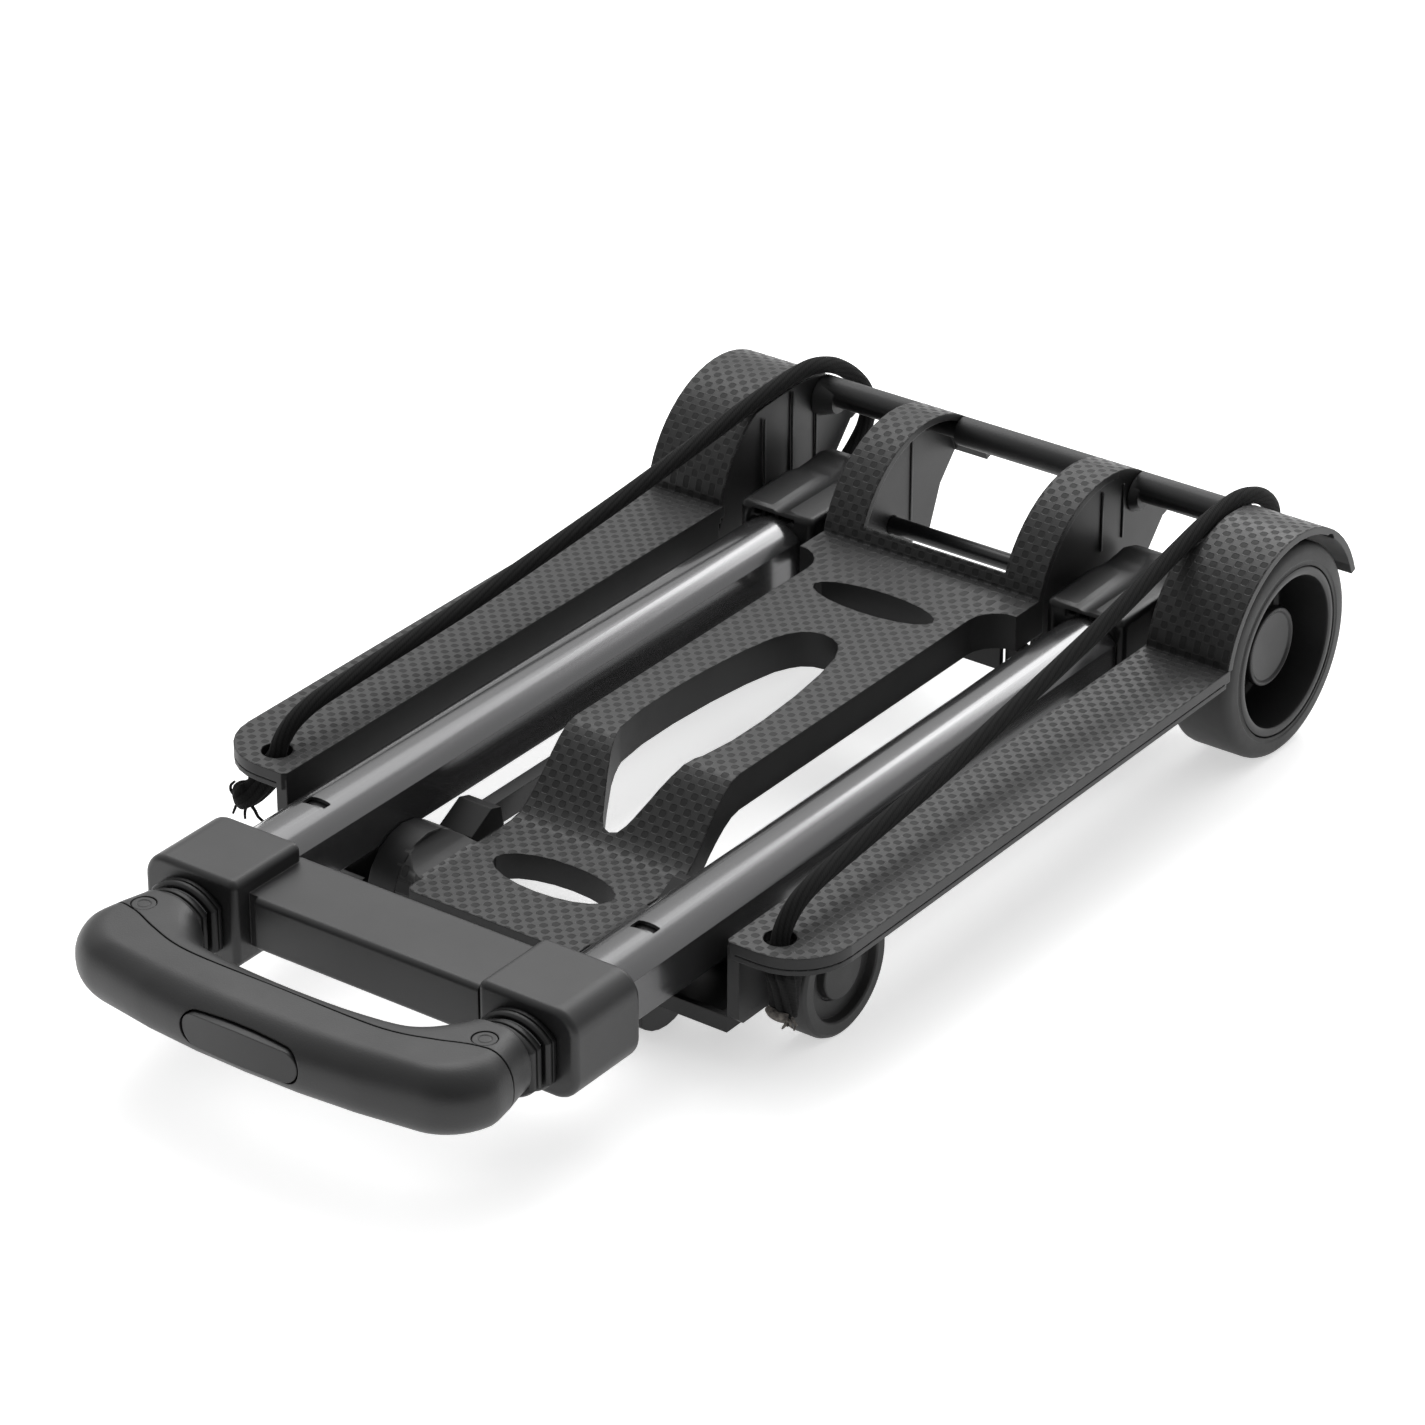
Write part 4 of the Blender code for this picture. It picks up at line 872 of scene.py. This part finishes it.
def swept(name, points, radii, sides, skin, pitch=2.4):
    """A round solid along points, with a UV map round it and along it for the braid."""
    data = bpy.data.meshes.new(name)
    build = bmesh.new()
    layer = build.loops.layers.uv.new("braid")
    across = Vector((1.0, 0.0, 0.0))
    loops = []
    length = 0.0
    for k, point in enumerate(points):
        ahead = points[min(k + 1, len(points) - 1)] - points[max(k - 1, 0)]
        ahead.normalize()
        across = (across - ahead * across.dot(ahead)).normalized()
        other = ahead.cross(across)
        length += (point - points[k - 1]).length if k else 0.0
        ring = []
        for s in range(sides):
            turn = 2 * math.pi * s / sides
            offset = radii[k] * (math.cos(turn) * across + math.sin(turn) * other)
            ring.append(build.verts.new(at(*(point + offset))))
        loops.append((ring, length / pitch))
    for (ring, v0), (onward, v1) in zip(loops, loops[1:]):
        for s in range(sides):
            t = (s + 1) % sides
            face = build.faces.new((ring[s], ring[t], onward[t], onward[s]))
            marks = ((s, v0), (s + 1, v0), (s + 1, v1), (s, v1))
            for corner, (u, v) in zip(face.loops, marks):
                corner[layer].uv = (u / sides, v)
    build.faces.new(loops[0][0])
    build.faces.new(loops[-1][0])
    bmesh.ops.recalc_face_normals(build, faces=build.faces)
    build.to_mesh(data)
    build.free()
    data.materials.append(skin)
    smooth(data, 50.0)
    return link(bpy.data.objects.new(name, data))


def knotted(name, centre, radius, height):
    """A tied lump: three turns of cord pulled into each other."""
    cx, cy, cz = centre
    points = []
    radii = []
    steps = 96
    for k in range(steps + 1):
        t = k / steps
        turn = 2 * math.pi * 2.6 * t
        swell = radius - 2.35 - 0.5 * math.cos(2 * math.pi * t)
        rise = (t - 0.5) * (height - 4.4) + 0.7 * math.sin(3 * turn)
        points.append(Vector((cx + swell * math.cos(turn), cy + swell * math.sin(turn), cz + rise)))
        radii.append(2.1 + 0.12 * math.sin(5 * turn))
    coil = swept(name, points, radii, 14, BRAID.material)
    core = [Vector((cx, cy, cz + height * (t - 0.5))) for t in (0.04, 0.2, 0.5, 0.8, 0.96)]
    middle = swept(name + "_core", core, (2.2, 2.9, 3.0, 2.9, 2.2), 14, BRAID.material)
    middle.parent = coil
    return coil


def grouped(pieces):
    """The first piece, with the others as its children."""
    for piece in pieces[1:]:
        piece.parent = pieces[0]
    return pieces[0]


def gathered(name, stations, flutes, depth):
    """A pulled-tight bundle along (point, radius) stations, fluted where its strands lie."""
    centres = curve_through([spot for spot, _ in stations], 6)
    sizes = curve_through([(size, 0.0) for _, size in stations], 6)
    bundle = swept(name, centres, [size.x for size in sizes], BRAID_SIDES, BRAID.material)
    for k, corner in enumerate(bundle.data.vertices):
        ring, turn = k // BRAID_SIDES, 2 * math.pi * (k % BRAID_SIDES) / BRAID_SIDES
        wave = abs(math.cos(flutes * turn / 2 + 0.15 * ring))
        middle = at(*centres[ring])
        corner.co = middle + (corner.co - middle) * (1 - depth * (1 - wave))
    return bundle


def frayed(name, root, aim, count, reach):
    """Loose strands that spread from a cut end, each with its own bend."""
    strands = []
    for k in range(count):
        turn = 2 * math.pi * k / count + 0.4 * math.sin(5.1 * k)
        long = reach * (0.55 + 0.45 * abs(math.cos(1.7 * k)))
        outward_way = Vector((math.cos(turn), math.sin(turn), 0.3 * math.sin(3 * turn)))
        points = []
        for j in range(7):
            t = j / 6
            swirl = Vector((math.sin(4 * t + k), math.cos(3 * t + 2 * k), 0.0)) * (0.9 * t)
            spread = outward_way * (1.3 + 1.1 * t * abs(math.sin(2.3 * k + 1.0)))
            points.append(Vector(root) + spread + swirl + Vector(aim) * (long * t))
        radii = [0.5 * (1 - 0.4 * j / 6) for j in range(7)]
        strands.append(swept(f"{name}_{k}", points, radii, 6, FRAY.material))
    return grouped(strands)


def curled(name, root, bends):
    """One loose thread that hangs and curls through the given offsets."""
    points = curve_through([Vector(root)] + [Vector(root) + Vector(bend) for bend in bends], 5)
    radii = [0.62 - 0.2 * k / len(points) for k in range(len(points))]
    return swept(name, points, radii, 8, BRAID.material)


def left_end():
    """The left cord's end: a cone-shaped knot that leans outwards, with a few loose threads."""
    stations = [((-104.8, -279.6, 44.4), 4.6), ((-107.4, -281.4, 39.2), 4.2)]
    stations += [((-111.4, -284.4, 34.6), 4.6), ((-113.9, -286.4, 33.2), 5.0)]
    stations += [((-115.6, -287.8, 32.6), 4.4), ((-116.6, -288.6, 32.3), 2.6)]
    knot = gathered("left_knot_tied", stations, 7, 0.13)
    foot, tip = (-111.5, -286.0, 30.2), (-116.6, -288.0, 33.0)
    long = [(1.6, 0.4, -2.2), (2.4, 1.0, -4.6), (4.6, 1.6, -6.6)]
    long += [(5.4, 1.2, -9.0), (3.6, 0.0, -10.6)]
    threads = (
        ("long", foot, long),
        ("mid", foot, [(-1.6, -0.6, -1.8), (-1.8, -1.0, -3.8), (-1.4, -1.4, -5.6)]),
        ("end", foot, [(-4.0, -2.0, -0.6), (-4.8, -2.6, -2.2), (-5.4, -3.0, -4.0)]),
        ("top", tip, [(-1.2, -0.4, 1.4), (-1.4, -0.2, 3.4), (-0.2, 0.6, 5.0)]),
    )
    threads = [curled("left_thread_" + name, root, bends) for name, root, bends in threads]
    return knot, grouped(threads)


def right_end():
    """The right cord's end: strands gathered under the wing, tied low, cut and frayed."""
    stations = [((107.6, -281.6, 42.6), 5.2), ((107.8, -281.8, 40.0), 6.2)]
    stations += [((108.0, -282.0, 36.6), 5.5), ((108.0, -282.0, 32.0), 5.0)]
    stations += [((108.0, -282.0, 27.6), 5.0), ((108.0, -282.0, 24.6), 4.6)]
    stations += [((108.0, -282.0, 23.6), 3.2)]
    knot = gathered("right_knot_tied", stations, 9, 0.22)
    ends = [(105.0, -285.6, 27.4), (107.0, -286.8, 27.0), (109.6, -286.6, 26.4)]
    ends = curve_through(ends + [(112.0, -285.4, 26.0)], 5)
    stub = swept("right_cut_end", ends, [1.7] * len(ends), 14, FRAY.material, 1.6)
    fray = frayed("right_cord_fray", (112.2, -285.4, 26.4), (0.5, -0.3, -0.6), 9, 4.0)
    return knot, grouped([stub, fray])


for side, sign in SIDES:
    route = cord_route(side, sign)
    path = even(curve_through(route, 16), 1.1)
    rope = swept(side + "_cord_braided", path, [CORD_R] * len(path), 20, BRAID.material)
    start, end = path[0], path[-1]
    knot, fray = left_end() if side == "left" else right_end()
    place(knot, "deck", "braided_cord", side + "_cord_knot")
    place(fray, "deck", "braided_cord")
    stop = knotted(side + "_stop_tied", (end.x, end.y, end.z - 5.4), 4.6, 8.0)
    place(stop, "deck", "braided_cord", side + "_cord_stop")
    place(rope, "deck", "braided_cord", side + "_cord")

# ---------------------------------------------------------------- stage, light and camera
floor_skin = Skin("pale_floor", (0.94, 0.94, 0.94), 0.75, edge=0.0)
floor_skin.ramp(floor_skin.noise(3.0, 2.0), [(0.3, 0.93), (0.7, 0.95)], "Base Color")
floor_skin.set("Emission Color", (1.0, 1.0, 1.0, 1.0))
floor_skin.set("Emission Strength", 0.55)
floor = box("floor", (-30000.0, 30000.0), (-30000.0, 30000.0), (-20.0, -0.05), floor_skin.material)


def studio_world():
    """A pale tent, brightest overhead and towards the back left, dimmer at the camera's side."""
    world = bpy.data.worlds.new("studio")
    world.use_nodes = True
    tree = world.node_tree
    shade = tree.nodes["Background"]
    shade.inputs["Strength"].default_value = 1.0

    def add(kind, **settings):
        made = tree.nodes.new(kind)
        for key, value in settings.items():
            setattr(made, key, value)
        return made

    direction = add("ShaderNodeTexCoord").outputs["Generated"]
    split = add("ShaderNodeSeparateXYZ")
    tree.links.new(direction, split.inputs[0])
    height = add("ShaderNodeValToRGB")
    levels = ((0.0, 0.30), (0.3, 0.52), (0.5, 0.85), (0.75, 0.85), (1.0, 0.80))
    while len(height.color_ramp.elements) < len(levels):
        height.color_ramp.elements.new(0.5)
    for element, (position, level) in zip(height.color_ramp.elements, levels):
        element.position = position
        element.color = (level, level, level, 1.0)
    tree.links.new(split.outputs["Z"], height.inputs["Fac"])
    lean = add("ShaderNodeVectorMath", operation="DOT_PRODUCT")
    lean.inputs[1].default_value = (-0.42, 0.60, 0.0)
    tree.links.new(direction, lean.inputs[0])
    side = add("ShaderNodeMath", operation="ADD")
    side.inputs[1].default_value = 1.0
    tree.links.new(lean.outputs["Value"], side.inputs[0])
    tone = add("ShaderNodeVectorMath", operation="SCALE")
    tree.links.new(height.outputs["Color"], tone.inputs[0])
    tree.links.new(side.outputs[0], tone.inputs["Scale"])
    tree.links.new(tone.outputs["Vector"], shade.inputs["Color"])
    return world


bpy.context.scene.world = studio_world()
bpy.context.scene.view_settings.view_transform = "Standard"


def soft_light(name, spot, aim, size, radiance):
    """A softbox of so many metres across, as bright as so many times a white card."""
    data = bpy.data.lights.new(name, "AREA")
    data.shape = "RECTANGLE"
    data.size, data.size_y = size
    data.energy = radiance * math.pi * size[0] * size[1]
    lamp = link(bpy.data.objects.new(name, data))
    lamp.location = spot
    lamp.rotation_euler = (Vector(spot) - Vector(aim)).to_track_quat("Z", "Y").to_euler()
    return lamp


soft_light("overhead", (-0.55, 0.75, 1.45), (0.0, 0.0, 0.0), (1.3, 1.1), 2.2)
soft_light("far_strip", (-0.1, 0.95, 0.66), (0.05, 0.1, 0.05), (0.5, 0.34), 5.5)

azimuth, elevation = math.radians(36.19), math.radians(28.60)
back = Vector(
    (
        math.sin(azimuth) * math.cos(elevation),
        -math.cos(azimuth) * math.cos(elevation),
        math.sin(elevation),
    )
)
lens = bpy.data.cameras.new("camera")
lens.sensor_width = 36.0
lens.lens = 142.7
camera = link(bpy.data.objects.new("camera", lens))
camera.location = at(-23.6, -140.8, 30.0) + back * 1.9727
camera.rotation_euler = back.to_track_quat("Z", "Y").to_euler()
bpy.context.scene.camera = camera
